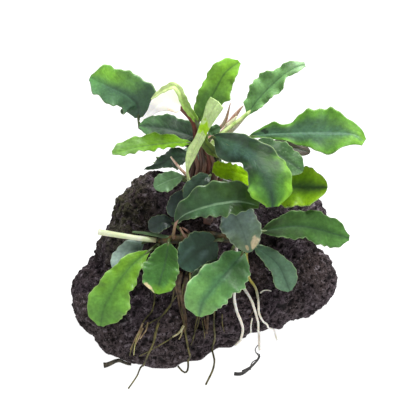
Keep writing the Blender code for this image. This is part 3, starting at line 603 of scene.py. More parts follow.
LEAVES = (
    Leaf("leaf_upper_left", ((-3.5, 3, 99), (-17.5, 9, 99), (-30, 12, 103)), ((-31.1, 13, 108.9),
         (-31.2, 13, 115.8), (-34.4, 12.5, 120.6), (-39.6, 12, 124.9), (-46.6, 11, 129.4),
         (-53.6, 10, 133.6)), (-0.1, -0.75, 0.65), LeafKind.GLAUCOUS_SHEEN, ripple=1.3, fold=8,
         left=(2, 7, 8.6, 8.3, 6.5, 6.9, 8.9, 8.4, 5.9, 7, 1.5),
         right=(0.8, 7.5, 10.5, 11.5, 11.3, 10.8, 9.8, 9.3, 9.3, 7.6, 1.5)),
    Leaf("leaf_young_arched", ((-1, -3, 107.5),), ((-2.5, -4.5, 117.5), (-5.5, -5, 123.5),
         (-8, -5.5, 128.5), (-9.5, -5, 132.5), (-10.8, -4, 135.2), (-13.2, -3.5, 137), (-16.6, -3.5, 135.6),
         (-20.6, -3.5, 133), (-24, -3.5, 129.5)), (0, -0.7, 0.7), LeafKind.UNROLLING,
         SkinKind.PETIOLE_GREEN, SkinKind.UNDERSIDE_PALE, width=3.9, ripple=0.3, fold=15, broadest=0.35),
    Leaf("flower_spathe", ((-1.4, 1, 103), (-3.8, 1, 114)), ((-9, -0.5, 122.5), (-12.5, -1.5, 125.5),
         (-16.5, -2, 127), (-21, -2.5, 125.5), (-24.5, -3, 122), (-30, -4, 117.5)), (0, -0.75, 0.65),
         LeafKind.SPATHE, SkinKind.PETIOLE_RED, SkinKind.SPATHE_BACK, waves=1, ripple=0.1, fold=14,
         petiole=1.65, frill=0.0, teeth=(0, 0), left=(0.3, 3.4, 4, 4.4, 4.4, 4, 3.1, 2.1, 1.2, 0.6, 0.1),
         right=(0.3, 5.6, 6.4, 6.3, 5.5, 4.4, 3.2, 2.1, 1.2, 0.6, 0.1)),
    Leaf("leaf_left_dark", ((-2.5, 3.5, 100.5),), ((-3, 4, 103.2), (-16.5, 6, 107), (-30.5, 7.5, 108)),
         (0, -0.6, 0.8), LeafKind.DUSKY, ripple=0.8, fold=5,
         left=(2.5, 5, 6, 6.5, 6.8, 7, 7, 6.4, 5.4, 4, 1.2),
         right=(2.5, 5.4, 6.4, 6.8, 7, 7.2, 7, 6.5, 5.6, 4.2, 1.2), teeth=(0.02, 0.02)),
    Leaf("leaf_left_bright", ((-3, -3, 101),), ((-5.7, -5, 105.9), (-12.8, -7, 107.4), (-22.4, -9, 107.6),
         (-31.9, -11, 107.1), (-42.9, -13, 105.3)), (0, -0.45, 0.9), LeafKind.LIME, waves=4, fold=10,
         left=(0.8, 2.4, 2.8, 2.6, 3.2, 3.6, 2.6, 3.2, 2.8, 2.8, 0.8),
         right=(0.8, 2.2, 3.8, 5, 5.8, 5.8, 5.6, 5.2, 4.8, 4.2, 1), teeth=(0.25, 0.02), crimps=2.0),
    Leaf("leaf_young_rolled", ((-7, -12, 92.5),), ((-6.9, -12.5, 95.2), (-4.8, -13, 104.2),
         (-0.7, -13.5, 114.7), (2.5, -14, 123.4), (5.2, -14, 130), (7.8, -13.5, 134.3)), (-0.3, -0.8, 0.5),
         LeafKind.YOUNG, SkinKind.PETIOLE_PALE, SkinKind.UNDERSIDE_PALE, waves=1, ripple=0.2, fold=25,
         petiole=0.7, left=(0.8, 1.8, 2.5, 2.7, 2.6, 2.5, 2.4, 2.5, 3, 3.8, 4),
         right=(0.8, 1.6, 2.3, 2.6, 2.8, 3.3, 2.9, 3.4, 4.2, 4.7, 4.5)),
    Leaf("leaf_top", ((-1.5, 1, 105),), ((-1.5, 2, 114), (3, 3, 123), (7, 4.5, 131), (11.5, 6.5, 138.5),
         (18, 9.5, 142.5)), (-0.2, -0.8, 0.5), LeafKind.BRIGHT, fold=12,
         left=(0.8, 4, 6, 6.5, 6.5, 7, 7, 6.7, 6.2, 5, 1.2),
         right=(0.8, 5, 7.2, 7.6, 6.3, 9.1, 8, 6.5, 5.6, 4.4, 1.2)),
    Leaf("leaf_upper_right", ((3, 0.5, 99), (7, 3.5, 103), (14, 8, 107)), ((22.1, 12, 111.8),
         (26.5, 14, 117.5), (30.3, 15.5, 121.7), (35.6, 17.5, 126.7), (40.9, 19, 130.9),
         (45.8, 20.5, 133.3), (50.2, 22, 133.9)), (-0.2, -0.75, 0.6), LeafKind.UPRIGHT,
         SkinKind.PETIOLE_LIME, waves=4, ripple=1.6, fold=10, petiole=1.0,
         left=(0.9, 4.8, 5.7, 7, 8, 7.6, 5.3, 4.5, 4, 3, 1.2),
         right=(0.9, 2.5, 4.2, 4.2, 4.8, 5.7, 4.5, 2.2, 2.6, 2.5, 1.2), teeth=(0.05, 0.05)),
    Leaf("leaf_right_long", ((3, 0, 97.5), (17, 6, 97.5)), ((23.6, 7, 101.7), (32.4, 6, 103.8),
         (43, 5, 105), (59.8, 1, 107.5), (72.5, -3, 109.5), (78.5, -5, 106.7)), (0.1, -0.6, 0.78),
         LeafKind.MATURE, waves=4, ripple=1.5, fold=8,
         left=(0.8, 4, 5.7, 4.6, 8.6, 11.8, 13, 12.2, 9.2, 5.2, 1.6),
         right=(0.8, 1.5, 2.5, 4, 6, 6.9, 10.3, 11, 8.6, 6, 2.4), teeth=(0.035, 0.02)),
    Leaf("leaf_front_arched", ((1.5, -5, 101.5),), ((5.4, -10, 112.5), (12.5, -16, 111.8),
         (19.6, -21, 111.2), (25.2, -26, 109.8), (28.9, -31, 106.5), (31.6, -35, 102.7),
         (32.9, -38.5, 98.4), (33.3, -41, 93.3)), (0.1, -0.7, 0.7), LeafKind.ARCHED, ripple=1.2, fold=-8,
         left=(1, 5, 8.7, 8.7, 8.3, 11, 11.8, 11.6, 11.6, 10, 3),
         right=(1, 4.5, 8, 7.2, 4.6, 6.8, 7.2, 9, 10, 9.2, 3)),
    Leaf("leaf_right_shaded", ((3.5, -3, 96),), ((24.5, -3, 104), (36.5, -7, 101), (49, -11, 93.5)),
         (0.2, -0.6, 0.75), LeafKind.SHADED, width=14),
    Leaf("leaf_right_hidden", ((2.5, 5, 89.5), (18, 14, 91)), ((30, 14, 93), (42.5, 14, 91.5),
         (54, 13, 89)), (0.2, -0.6, 0.75), LeafKind.WITHERING_SHADED, width=8, waves=2, ripple=0.6),
    Leaf("leaf_right_yellow", ((4, 1, 84), (19, 4, 77)), ((30.5, 3, 75.5), (46, -3, 79), (61.5, -8, 82)),
         (0.1, -0.65, 0.75), LeafKind.YELLOWED_BACKLIT, width=21.5, ripple=1.2, fold=6, broadest=0.5),
    Leaf("leaf_front_yellow", ((6, -7, 80), (18.5, -11, 81.5)), ((26, -14, 90), (16.5, -16, 96.5),
         (5.5, -17, 100)), (-0.1, -0.7, 0.7), LeafKind.AMBER, ripple=0.8,
         left=(1, 3.5, 4.6, 5, 4.6, 5, 4.7, 5, 4.4, 4.2, 2.8), teeth=(0.05, 0.09),
         right=(1, 3, 3.6, 3.8, 3.2, 3.6, 3, 3.6, 3, 3.2, 2.2)),
    Leaf("leaf_middle_glossy", ((-14, -24, 64),), ((-12.4, -26, 73.4), (-9, -27, 78.3), (-4.9, -28, 81.5),
         (2.5, -29, 85), (9.7, -30, 87.7), (18.3, -30, 88.6), (27.4, -29, 85.5)), (0, -0.7, 0.7),
         LeafKind.GLOSSY, SkinKind.PETIOLE_PINK, waves=5, ripple=1.2, fold=10,
         left=(0.8, 4.5, 6.5, 8.8, 10.6, 10.9, 10.8, 10.2, 9, 7, 1.5),
         right=(0.8, 1.8, 3, 3.8, 4.6, 5.6, 6.5, 6.6, 5.2, 3, 1), teeth=(0.015, 0.13), crimps=1.7),
    Leaf("leaf_front_damaged", ((4.5, -19, 74),), ((11.5, -23, 83), (18.5, -30, 75), (23, -35, 62.5)),
         (0.1, -0.85, 0.5), LeafKind.DAMAGED, ripple=0.8,
         left=(0.8, 4, 6.3, 8, 9, 9.2, 9, 8.4, 7.6, 5.8, 1.5),
         right=(0.8, 4.4, 6.8, 8.4, 9.2, 9, 8.2, 7, 5.8, 4.2, 1.3)),
    Leaf("leaf_right_low", ((20.5, -25, 64.5),), ((29, -24, 67), (49, -19, 66.5), (73, -15, 56.5)),
         (0, -0.6, 0.8), LeafKind.SIDEWAYS, waves=4, ripple=1.2, fold=8, teeth=(0.02, 0.07),
         left=(0.8, 3.4, 5.4, 6.8, 7.8, 8.4, 8.5, 8.1, 7.2, 5.4, 1.5),
         right=(0.8, 3.4, 5.4, 6.5, 6.5, 6.4, 7.6, 8.4, 7.6, 5.6, 1.5)),
    Leaf("leaf_small_low_right", ((21.5, -25, 62),), ((25.5, -27, 60.5), (37, -29, 51), (43.5, -32, 36.5)),
         (0.1, -0.8, 0.6), LeafKind.DOWNWARD, ripple=0.5,
         left=(0.8, 2.5, 3.5, 4, 4.5, 5.2, 6, 6.5, 6.5, 5, 1.2),
         right=(0.8, 2.5, 3.5, 4.2, 4.8, 5, 5.2, 5.5, 6, 5, 1.2)),
    Leaf("leaf_front_low", ((18.5, -26, 63.5),), ((20, -29, 57.9), (14.2, -38, 55.9), (9.3, -44, 53.2),
         (4.5, -48, 49), (0.4, -51, 44), (-1.3, -52, 36.5)), (0, -0.8, 0.6), LeafKind.LOW, waves=4,
         ripple=0.8, fold=6, left=(1.5, 6.5, 9.5, 11, 11, 9.8, 9.2, 8.8, 8, 6, 1.5),
         right=(1.5, 6, 7.2, 7.2, 8.8, 10.5, 10.8, 10.8, 10, 7.5, 1.5), teeth=(0.06, 0.015)),
    Leaf("leaf_left_low", ((-22.5, -21, 56.5),), ((-26.1, -26, 56.3), (-33.1, -31, 53), (-39.2, -36, 47.9),
         (-43.6, -40, 42.1), (-48, -44, 34.3), (-49.6, -46.5, 26.1)), (-0.1, -0.8, 0.6), LeafKind.GRASSY,
         waves=4, ripple=0.9, fold=8, left=(0.9, 3.2, 4.6, 6.6, 8, 8, 10.4, 11.4, 10.6, 8, 1.5),
         right=(0.9, 3.5, 5.2, 6, 6.8, 7.6, 8.4, 9, 8.6, 6.8, 1.5), teeth=(0.04, 0.02)),
    Leaf("leaf_small_low_left", ((-16.5, -26, 62),), ((-16.2, -30.5, 64.5), (-17.4, -34.8, 57.4),
         (-20, -41, 50.5), (-22, -45, 45)), (0, -0.85, 0.5), LeafKind.SCARRED, ripple=0.5, fold=6,
         left=(1.5, 4.2, 5.2, 6.1, 6.8, 7.4, 7.7, 7.6, 7, 5.6, 1.5),
         right=(1.5, 5, 6.5, 8, 9, 9.8, 9.8, 9.4, 8.6, 6.4, 1.5)),
    Leaf("leaf_under_dark", ((10, -25, 63),), ((7, -28, 64.5), (-1.5, -32, 61), (-10.5, -36, 54.5)),
         (0, -0.8, 0.6), LeafKind.SLEEK, width=18.5, ripple=0.6, broadest=0.46),
    Leaf("leaf_under_short", ((16.5, -26, 61.5),), ((12, -33, 57.5), (3.5, -40.5, 55), (-5, -44.5, 52)),
         (0, -0.8, 0.6), LeafKind.SHADOWED, width=9, waves=2, ripple=0.5),
    Leaf("leaf_left_grey", ((-22.5, -17, 56.5),), ((-28.5, -18, 56), (-35.5, -22, 53.5), (-43, -26, 43.5)),
         (-0.1, -0.75, 0.65), LeafKind.ASHEN, width=12, waves=2, ripple=0.5),
    Leaf("leaf_small_left", ((-8, -11, 88.5),), ((-9, -14, 92.5), (-15.5, -15, 91), (-23, -17, 88)),
         (0, -0.7, 0.7), LeafKind.SMALL, width=9.5, waves=2, ripple=0.5),
    # Its broad dark base also fills the deep shade between the crown and the leaves on the left; that part
    # is painted shade
    Leaf("leaf_left_tucked", ((-5, -4, 86),), ((-7.2, -4, 95.4), (-13.6, -2, 95.6), (-21.5, 0, 89.9),
         (-28.5, 1, 86.6)), (0, -0.6, 0.8), LeafKind.DEEP, ripple=0.9,
         left=(3.5, 6.3, 6.8, 5.8, 4.4, 3.4, 2.6, 1.9, 1.3, 0.8, 0.2),
         right=(2.5, 4, 4.7, 4.6, 4.3, 3.8, 3, 2.2, 1.4, 0.8, 0.2)),
    Leaf("leaf_hanging_narrow", ((-6.5, -12, 84),), ((-9, -14, 84.5), (-12, -17, 79.5), (-14.5, -21, 73.5)),
         (0, -0.8, 0.6), LeafKind.GLOOM, width=8.5, waves=2, ripple=0.4),
    Leaf("leaf_left_slate", ((-10, -19, 66),), ((-14, -20, 69), (-20, -21, 70), (-26, -20, 65.5)),
         (0, -0.7, 0.7), LeafKind.GLOOM, width=8.5, waves=2, ripple=0.4),
    Leaf("leaf_inner_grey", ((3.5, -7, 87),), ((4, -11, 91), (-0.5, -15, 90), (-8, -19, 82)),
         (-0.1, -0.75, 0.65), LeafKind.DEEP, width=10, waves=2, ripple=0.5),
    Leaf("leaf_bud_round", ((1, 5, 102.5),), ((3.5, 9, 102), (6.2, 10, 103.8), (9, 10, 105.6)),
         (0, -0.75, 0.65), LeafKind.SMALL, width=5, waves=1, ripple=0.3),
    Leaf("leaf_olive_curled", ((2, -5, 97),), ((8.8, -7, 98.5), (4.5, -8, 103.8), (1.4, -8.5, 108.7),
         (2.6, -8, 112)), (-0.2, -0.8, 0.5), LeafKind.OLIVE, width=5, waves=1, ripple=0.2, fold=10),
    Leaf("leaf_back_right", ((3, 5, 85),), ((7, 12, 91), (20, 24, 83.5), (36, 40, 68)), (0.2, 0.5, 0.8),
         LeafKind.MATURE, width=18),
    Leaf("leaf_back_left", ((-3, 3, 95.5),), ((-6, 9, 91.5), (-13, 20, 84), (-21.5, 33, 70)),
         (-0.3, 0.5, 0.8), LeafKind.GLOSSY, width=16),
    Leaf("leaf_back_middle", ((0.5, 4, 92),), ((0.5, 13, 89), (1.5, 28, 75.5), (3.5, 44, 55)),
         (0, 0.6, 0.8), LeafKind.LOW, width=17),
    Leaf("leaf_back_low", ((6.5, 5, 79),), ((10, 12, 73), (19.5, 24, 62.5), (29, 37, 48.5)),
         (0.2, 0.5, 0.8), LeafKind.DEEP, width=16, ripple=0.9),
)

STEMS = (
    Stem("rhizome", ((-21, -20, 58.5), (-15.5, -22, 60.5), (-7.5, -23, 62), (1, -22, 63), (10, -23, 62.5),
         (21, -23, 61.5)), (2.2, 2.5, 2.6, 2.6, 2.4, 2.0), SkinKind.RHIZOME),
    Stem("crown_stem", ((2.5, -18, 67), (4.5, -12, 76.5), (5, -3, 79.5), (2, -2, 94), (-1, -1, 104)),
         (3.0, 3.4, 3.3, 2.8, 2.4), SkinKind.CROWN),
    Stem("side_shoot", ((-1.5, -14, 75), (-4, -11, 79), (-6.5, -11, 89.5)), (2.2, 2.4, 1.8),
         SkinKind.CROWN),
)

STALKS = (
    Stem("cut_petiole", ((-22.4, -21, 59.5), (-35.5, -20, 60.8), (-51, -17, 61.7)), (1.3, 1.3, 1.5),
         SkinKind.CUT_STALK),
    Stem("sheath_needle", ((-1, 5.5, 98.8), (4.5, 15, 98), (11, 14, 105.5), (14, 13, 117.5)),
         (0.8, 0.9, 1.0, 0.2), SkinKind.SHEATH),
    Stem("sheath_curved", ((1, 6, 95.5), (11, 19, 97.5), (17, 19, 107.5), (20.5, 19, 112.5)),
         (0.9, 1.5, 1.7, 0.3), SkinKind.SHEATH),
    Stem("sheath_side", ((-7.5, -9, 90), (-11, -9, 94.5), (-15, -8, 100)), (0.8, 0.7, 0.4),
         SkinKind.SHEATH),
    Stem("old_stalk_left", ((4, -4, 80.5), (-2.3, -8, 86), (-1.8, -8, 93), (-2.8, -8, 100),
         (-3.4, -7, 104)), (1.3, 1.3, 1.2, 1.0, 0.8), SkinKind.PETIOLE_OLD),
    Stem("old_stalk_middle", ((4, -4, 80), (0.4, -8.5, 86), (1.4, -8.5, 96), (0.4, -8, 102),
         (-0.6, -7, 107)), (1.3, 1.4, 1.2, 1.0, 0.8), SkinKind.PETIOLE_OLD),
    Stem("old_stalk_red", ((4, -4, 80), (2.6, -8, 86), (3.6, -7.5, 96), (2.2, -7, 103), (0.6, -6, 108)),
         (1.2, 1.2, 1.2, 1.0, 0.7), SkinKind.PETIOLE_RED),
    Stem("old_stalk_right", ((5, -4.5, 80), (6.4, -8.5, 86), (5.9, -8, 95), (4.4, -7.5, 101),
         (2.8, -7, 105)), (1.4, 1.5, 1.3, 1.1, 0.8), SkinKind.PETIOLE_OLD),
    Stem("old_stalk_outer", ((5.5, -3.5, 80.5), (9.2, -6, 86), (8.2, -6, 94), (6.2, -6, 100)),
         (1.3, 1.3, 1.2, 0.8), SkinKind.CROWN),
    Stem("old_stalk_back", ((4, -3.5, 81), (-5.6, -6, 88), (-5.2, -5, 96), (-4.4, -4, 103)),
         (1.2, 1.2, 1.1, 0.8), SkinKind.CROWN),
    Stem("old_stalk_dark", ((4, -4, 80.5), (-4.4, -6.5, 86), (-4, -6, 93), (-3.8, -5, 100)),
         (1.5, 1.6, 1.5, 1.0), SkinKind.CROWN),
    Stem("old_stalk_thin", ((4, -4, 80), (-0.9, -7.5, 86), (-0.2, -7.5, 95), (-0.8, -7, 103)),
         (1.3, 1.3, 1.2, 0.8), SkinKind.CROWN),
    Stem("sheath_fan", ((4.5, 14.6, 98), (10.5, 13, 100), (14.2, 12, 106), (17, 12, 110.5)),
         (0.7, 1.7, 1.9, 0.3), SkinKind.SHEATH_CREAM),
    Stem("sheath_slim", ((5, 14.4, 98), (13, 12.5, 100.5), (18, 11.5, 106.5), (22.5, 11.5, 112)),
         (0.6, 0.9, 1.0, 0.3), SkinKind.SHEATH_CREAM),
    Stem("stub_long", ((-4.5, -24, 62.8), (-6.7, -25.5, 68), (-9.6, -25, 70)), (0.7, 0.6, 0.4),
         SkinKind.PETIOLE_OLD),
    Stem("stub_short", ((-7.5, -24, 62.6), (-9.1, -25.5, 67), (-10.5, -25, 70)), (0.8, 0.6, 0.4),
         SkinKind.PETIOLE_PINK),
    Stem("stub_low", ((-15.5, -22, 61.6), (-25.4, -20, 62.6), (-34, -19, 63.1)), (1.0, 0.9, 0.5),
         SkinKind.UNDERSIDE),
)

ROOTS = (
    Root("root_white_left", ((17, -17, 55), (17, -19, 45), (16, -29, 38), (16, -34, 32), (19, -37, 21),
         (18, -34, 7), (18, -36, 1)), 0.9, 0.55, SkinKind.WHITE_ROOT),
    Root("root_white_middle", ((20, -16, 54), (20, -17, 43), (20, -26, 37), (26, -34, 27), (28, -32, 13),
         (29, -35, 1)), 0.8, 0.55, SkinKind.WHITE_ROOT),
    Root("root_white_right", ((22, -14, 53), (23, -16, 42), (23, -23, 38), (27, -27, 34), (28, -33, 26),
         (32, -30, 14), (38, -27, 1)), 0.8, 0.4, SkinKind.YELLOWING_ROOT),
    Root("root_white_twig", ((29, -28, 32), (31, -27, 33), (35, -26, 32)), 0.35, 0.25, SkinKind.WHITE_ROOT),
    Root("root_white_fork", ((25, -35, 22), (24, -36, 16), (24, -32, 8)), 0.4, 0.25, SkinKind.WHITE_ROOT),
    Root("root_black_end", ((29, -38, 1), (27, -44, 1), (20, -53, 1), (16, -53, 1)), 0.25, 1.0,
         SkinKind.DRIED_ROOT),
    Root("root_brown_a", ((-18, -16, 54), (-21, -22, 47), (-23, -27, 39), (-24, -31, 34), (-25, -37, 28),
         (-29, -43, 22), (-33, -46, 17), (-36, -48, 8)), 0.45, 0.3, SkinKind.OLIVE_ROOT),
    Root("root_brown_b", ((-12, -19, 58), (-11, -29, 52), (-12, -32, 43), (-14, -34, 35), (-16, -37, 30),
         (-21, -41, 26), (-27, -43, 23)), 0.45, 0.3, SkinKind.OLIVE_ROOT),
    Root("root_brown_c", ((-21, -43, 25), (-24, -49, 16), (-29, -46, 1), (-33, -57, 1), (-36, -64, 1)), 0.5,
         0.4, SkinKind.OLIVE_ROOT),
    Root("root_brown_d", ((-6, -20, 60), (-7, -29, 52), (-9, -33, 44), (-10, -34, 34), (-9, -43, 23),
         (-7, -48, 14), (-6, -47, 1), (-9, -53, 1), (-13, -46, 1)), 0.6, 0.45, SkinKind.OLIVE_ROOT),
    Root("root_brown_e", ((-11, -45, 22), (-15, -48, 20), (-22, -50, 16)), 0.35, 0.25, SkinKind.OLIVE_ROOT),
    Root("fine_pale_knot", ((-9.5, -43.5, 23.5), (-11, -46, 21.5), (-14.5, -48, 20.5)), 0.65, 0.35,
         SkinKind.PALE_ROOT),
    Root("fine_pale_spur", ((-10, -44, 23.5), (-10, -46, 20.5), (-11.5, -47.5, 18.5)), 0.35, 0.25,
         SkinKind.PALE_ROOT),
    Root("fine_beige_long", ((-28, -42, 23), (-30.5, -44, 20), (-32.5, -45.5, 16), (-34.5, -46, 11)), 0.5,
         0.35, SkinKind.BEIGE_ROOT),
    Root("fine_beige_fork", ((-28, -42.5, 22), (-29, -44, 18), (-30.5, -45, 14.5)), 0.45, 0.3,
         SkinKind.BEIGE_ROOT),
    Root("fine_beige_hook", ((-26.5, -42, 23), (-27, -44, 19.5), (-29, -45, 18)), 0.4, 0.3,
         SkinKind.BEIGE_ROOT),
    Root("root_brown_f", ((4, -20, 59), (5, -28, 52), (6, -33, 40), (6, -38, 24), (6, -38, 8), (6, -47, 1),
         (2, -61, 1)), 0.5, 0.5, SkinKind.OLIVE_ROOT),
    Root("root_brown_g", ((-2, -20, 59), (-3, -29, 52), (-2, -35, 42), (-1, -39, 25), (-5, -45, 17)), 0.35,
         0.25, SkinKind.OLIVE_ROOT),
    Root("root_brown_thick", ((1, -20, 59), (2, -29, 52), (2, -34, 38), (3, -39, 25), (2, -41, 18)), 1, 0.7,
         SkinKind.BROWN_ROOT),
    Root("fine_yellow", ((-22, -50, 16), (-27, -49, 12), (-31, -49, 9)), 0.3, 0.2, SkinKind.OLIVE_ROOT),
    Root("fine_left", ((-12, -34, 37), (-16, -36, 30), (-21, -42, 26), (-23, -46, 22), (-24, -49, 17)),
         0.35, 0.2, SkinKind.OLIVE_ROOT),
    Root("fine_fork", ((-30, -45, 22), (-32, -46, 14), (-33, -47, 9)), 0.3, 0.2, SkinKind.YELLOW_ROOT),
    Root("fine_middle", ((0, -38, 24), (1, -41, 14)), 0.3, 0.2, SkinKind.OLIVE_ROOT),
    Root("fine_short", ((10, -37, 26), (10, -39, 21), (11, -39, 17)), 0.3, 0.2, SkinKind.OLIVE_ROOT),
    Root("fine_white", ((19, -26, 36), (23, -31, 32), (26, -34, 25)), 0.55, 0.4, SkinKind.WHITE_ROOT),
    Root("fine_bundle_left", ((-12, -34, 46), (-12, -34, 38), (-11, -36, 30), (-10, -40, 25),
         (-9, -45, 21)), 0.8, 0.45, SkinKind.BROWN_ROOT),
    Root("fine_bundle_middle", ((-10, -33, 49), (-11, -35, 42), (-10, -34, 33), (-9, -37, 28),
         (-9, -43, 23)), 1.2, 0.5, SkinKind.BROWN_ROOT),
    Root("fine_bundle_right", ((-8, -33, 48), (-8, -34, 39), (-9, -35, 32), (-8, -39, 26), (-8, -44, 22)),
         1.0, 0.5, SkinKind.BROWN_ROOT),
    Root("fine_bundle_pale", ((-6, -33, 49), (-6, -34, 43), (-7, -34, 35), (-8, -36, 29)), 0.5, 0.35,
         SkinKind.YELLOW_ROOT),
    Root("fine_dark_right", ((20, -27, 34), (23, -32, 31), (26, -33, 27), (23, -35, 23)), 0.3, 0.2,
         SkinKind.BROWN_ROOT),
    Root("fine_dark_middle", ((-2, -37, 27), (-4, -44, 18), (-6, -46, 14)), 0.4, 0.25, SkinKind.OLIVE_ROOT),
    Root("fine_dark_left", ((1, -37, 25), (2, -41, 19)), 0.4, 0.3, SkinKind.BROWN_ROOT),
    Root("fine_black_looped", ((29, -30, 1), (26.5, -35, 1), (29, -41, 1), (25, -44, 1), (24, -50, 1)),
         0.22, 0.3, SkinKind.DRIED_ROOT),
    Root("fine_black_short", ((27, -37, 1), (29.5, -39, 1), (26, -46, 1), (20, -51, 1)), 0.2, 0.4,
         SkinKind.DRIED_ROOT),
    Root("root_dead_scrap", ((-49, -47, 1), (-42, -46, 1), (-35, -45, 1)), 1.3, 0.6, SkinKind.DEAD_ROOT),
)


def deselect_all() -> None:
    """Leave nothing selected, so that an operator acts on its own piece alone."""
    for piece in bpy.context.selected_objects:
        piece.select_set(False)


def passing(a: Vector | float, b: Vector | float, c: Vector | float, d: Vector | float,
            t: float) -> Vector | float:
    """A Catmull-Rom curve's value between two of its points.

    Args:
        a: The point before them.
        b: The one that it comes from.
        c: The one that it goes to.
        d: The point after them.
        t: How far it has come from one to the other, 0 to 1.

    Returns:
        The value there.
    """
    return 0.5 * (2 * b + (c - a) * t + (2 * a - 5 * b + 4 * c - d) * t ** 2
                  + (3 * b - a - 3 * c + d) * t ** 3)


def smooth_line(points: tuple) -> list[Vector]:
    """A smooth line through points.

    Args:
        points: Places in millimetres.

    Returns:
        Places in metres.
    """
    knots = [Vector(point) * MM for point in points]
    knots = [2 * knots[0] - knots[1], *knots, 2 * knots[-1] - knots[-2]]
    line = []
    for four in zip(knots, knots[1:], knots[2:], knots[3:]):
        line += [passing(*four, step / LINE_STEPS) for step in range(LINE_STEPS)]
    line.append(knots[-2])
    return line


def length_of(line: list[Vector]) -> float:
    """The line's length in metres."""
    return sum((b - a).length for a, b in zip(line, line[1:]))


def spot_along(line: list[Vector], share: float) -> Vector:
    """The place at a share, 0 to 1, of a line's length.

    Args:
        line: Places in metres.
        share: How far along.

    Returns:
        The place.
    """
    left = min(max(share, 0.0), 1.0) * length_of(line)
    for start, end in zip(line, line[1:]):
        length = (end - start).length
        if left <= length:
            return start.lerp(end, left / length)
        left -= length
    return line[-1].copy()


def heading(line: list[Vector], share: float, reach: float = 0.03) -> Vector:
    """The way a line runs at a share of its length, taken over a short stretch so it turns evenly."""
    return (spot_along(line, share + reach) - spot_along(line, share - reach)).normalized()


def even_value(values: tuple, share: float) -> float:
    """A value between even stations, passing from one to the next without a corner.

    Args:
        values: The values at even shares from 0 to 1.
        share: Where it is wanted.

    Returns:
        The value there.
    """
    last = len(values) - 1
    step, part = divmod(min(max(share, 0.0), BEFORE_END) * last, 1)
    return passing(*[values[min(max(int(step) + i, 0), last)] for i in (-1, 0, 1, 2)], part)


def eased(least: float, part: float) -> float:
    """A factor that passes smoothly from its least value to 1 as part goes from 0 to 1."""
    return least + (1 - least) * part * part * (3 - 2 * part)


def surface_of(piece: bpy.types.Object) -> BVHTree:
    """A search tree over a mesh whose object sits at the origin."""
    corners = [vertex.co for vertex in piece.data.vertices]
    return BVHTree.FromPolygons(corners, [tuple(face.vertices) for face in piece.data.polygons])


def draw_tube(name: str, places: list[Vector], radii: list[float], sides: int = 8) -> bpy.types.Object:
    """A closed round tube along a path, as a bevelled curve turned into a mesh.

    Args:
        name: The piece's name.
        places: The path, in metres.
        radii: The tube's radius at each place, in millimetres.
        sides: How many faces go round it.

    Returns:
        The mesh piece.
    """
    deselect_all()
    bpy.ops.curve.primitive_nurbs_path_add()
    piece = bpy.context.object
    piece.name = name
    curve = piece.data
    curve.splines.clear()
    spline = curve.splines.new("POLY")
    spline.points.add(len(places) - 1)
    for point, place, radius in zip(spline.points, places, radii):
        point.co = (*place, 1.0)
        point.radius = radius
    curve.fill_mode = "FULL"
    curve.bevel_depth = MM
    curve.bevel_resolution = (sides - 4) // 2     # its own count, for so many sides
    curve.use_fill_caps = True
    bpy.ops.object.convert(target="MESH")
    piece = bpy.context.object
    bpy.ops.object.mode_set(mode="EDIT")
    bpy.ops.mesh.select_all(action="SELECT")
    bpy.ops.mesh.remove_doubles(threshold=0.0001 * MM)
    bpy.ops.mesh.normals_make_consistent(inside=False)
    bpy.ops.object.mode_set(mode="OBJECT")
    bpy.ops.object.shade_smooth()
    return piece


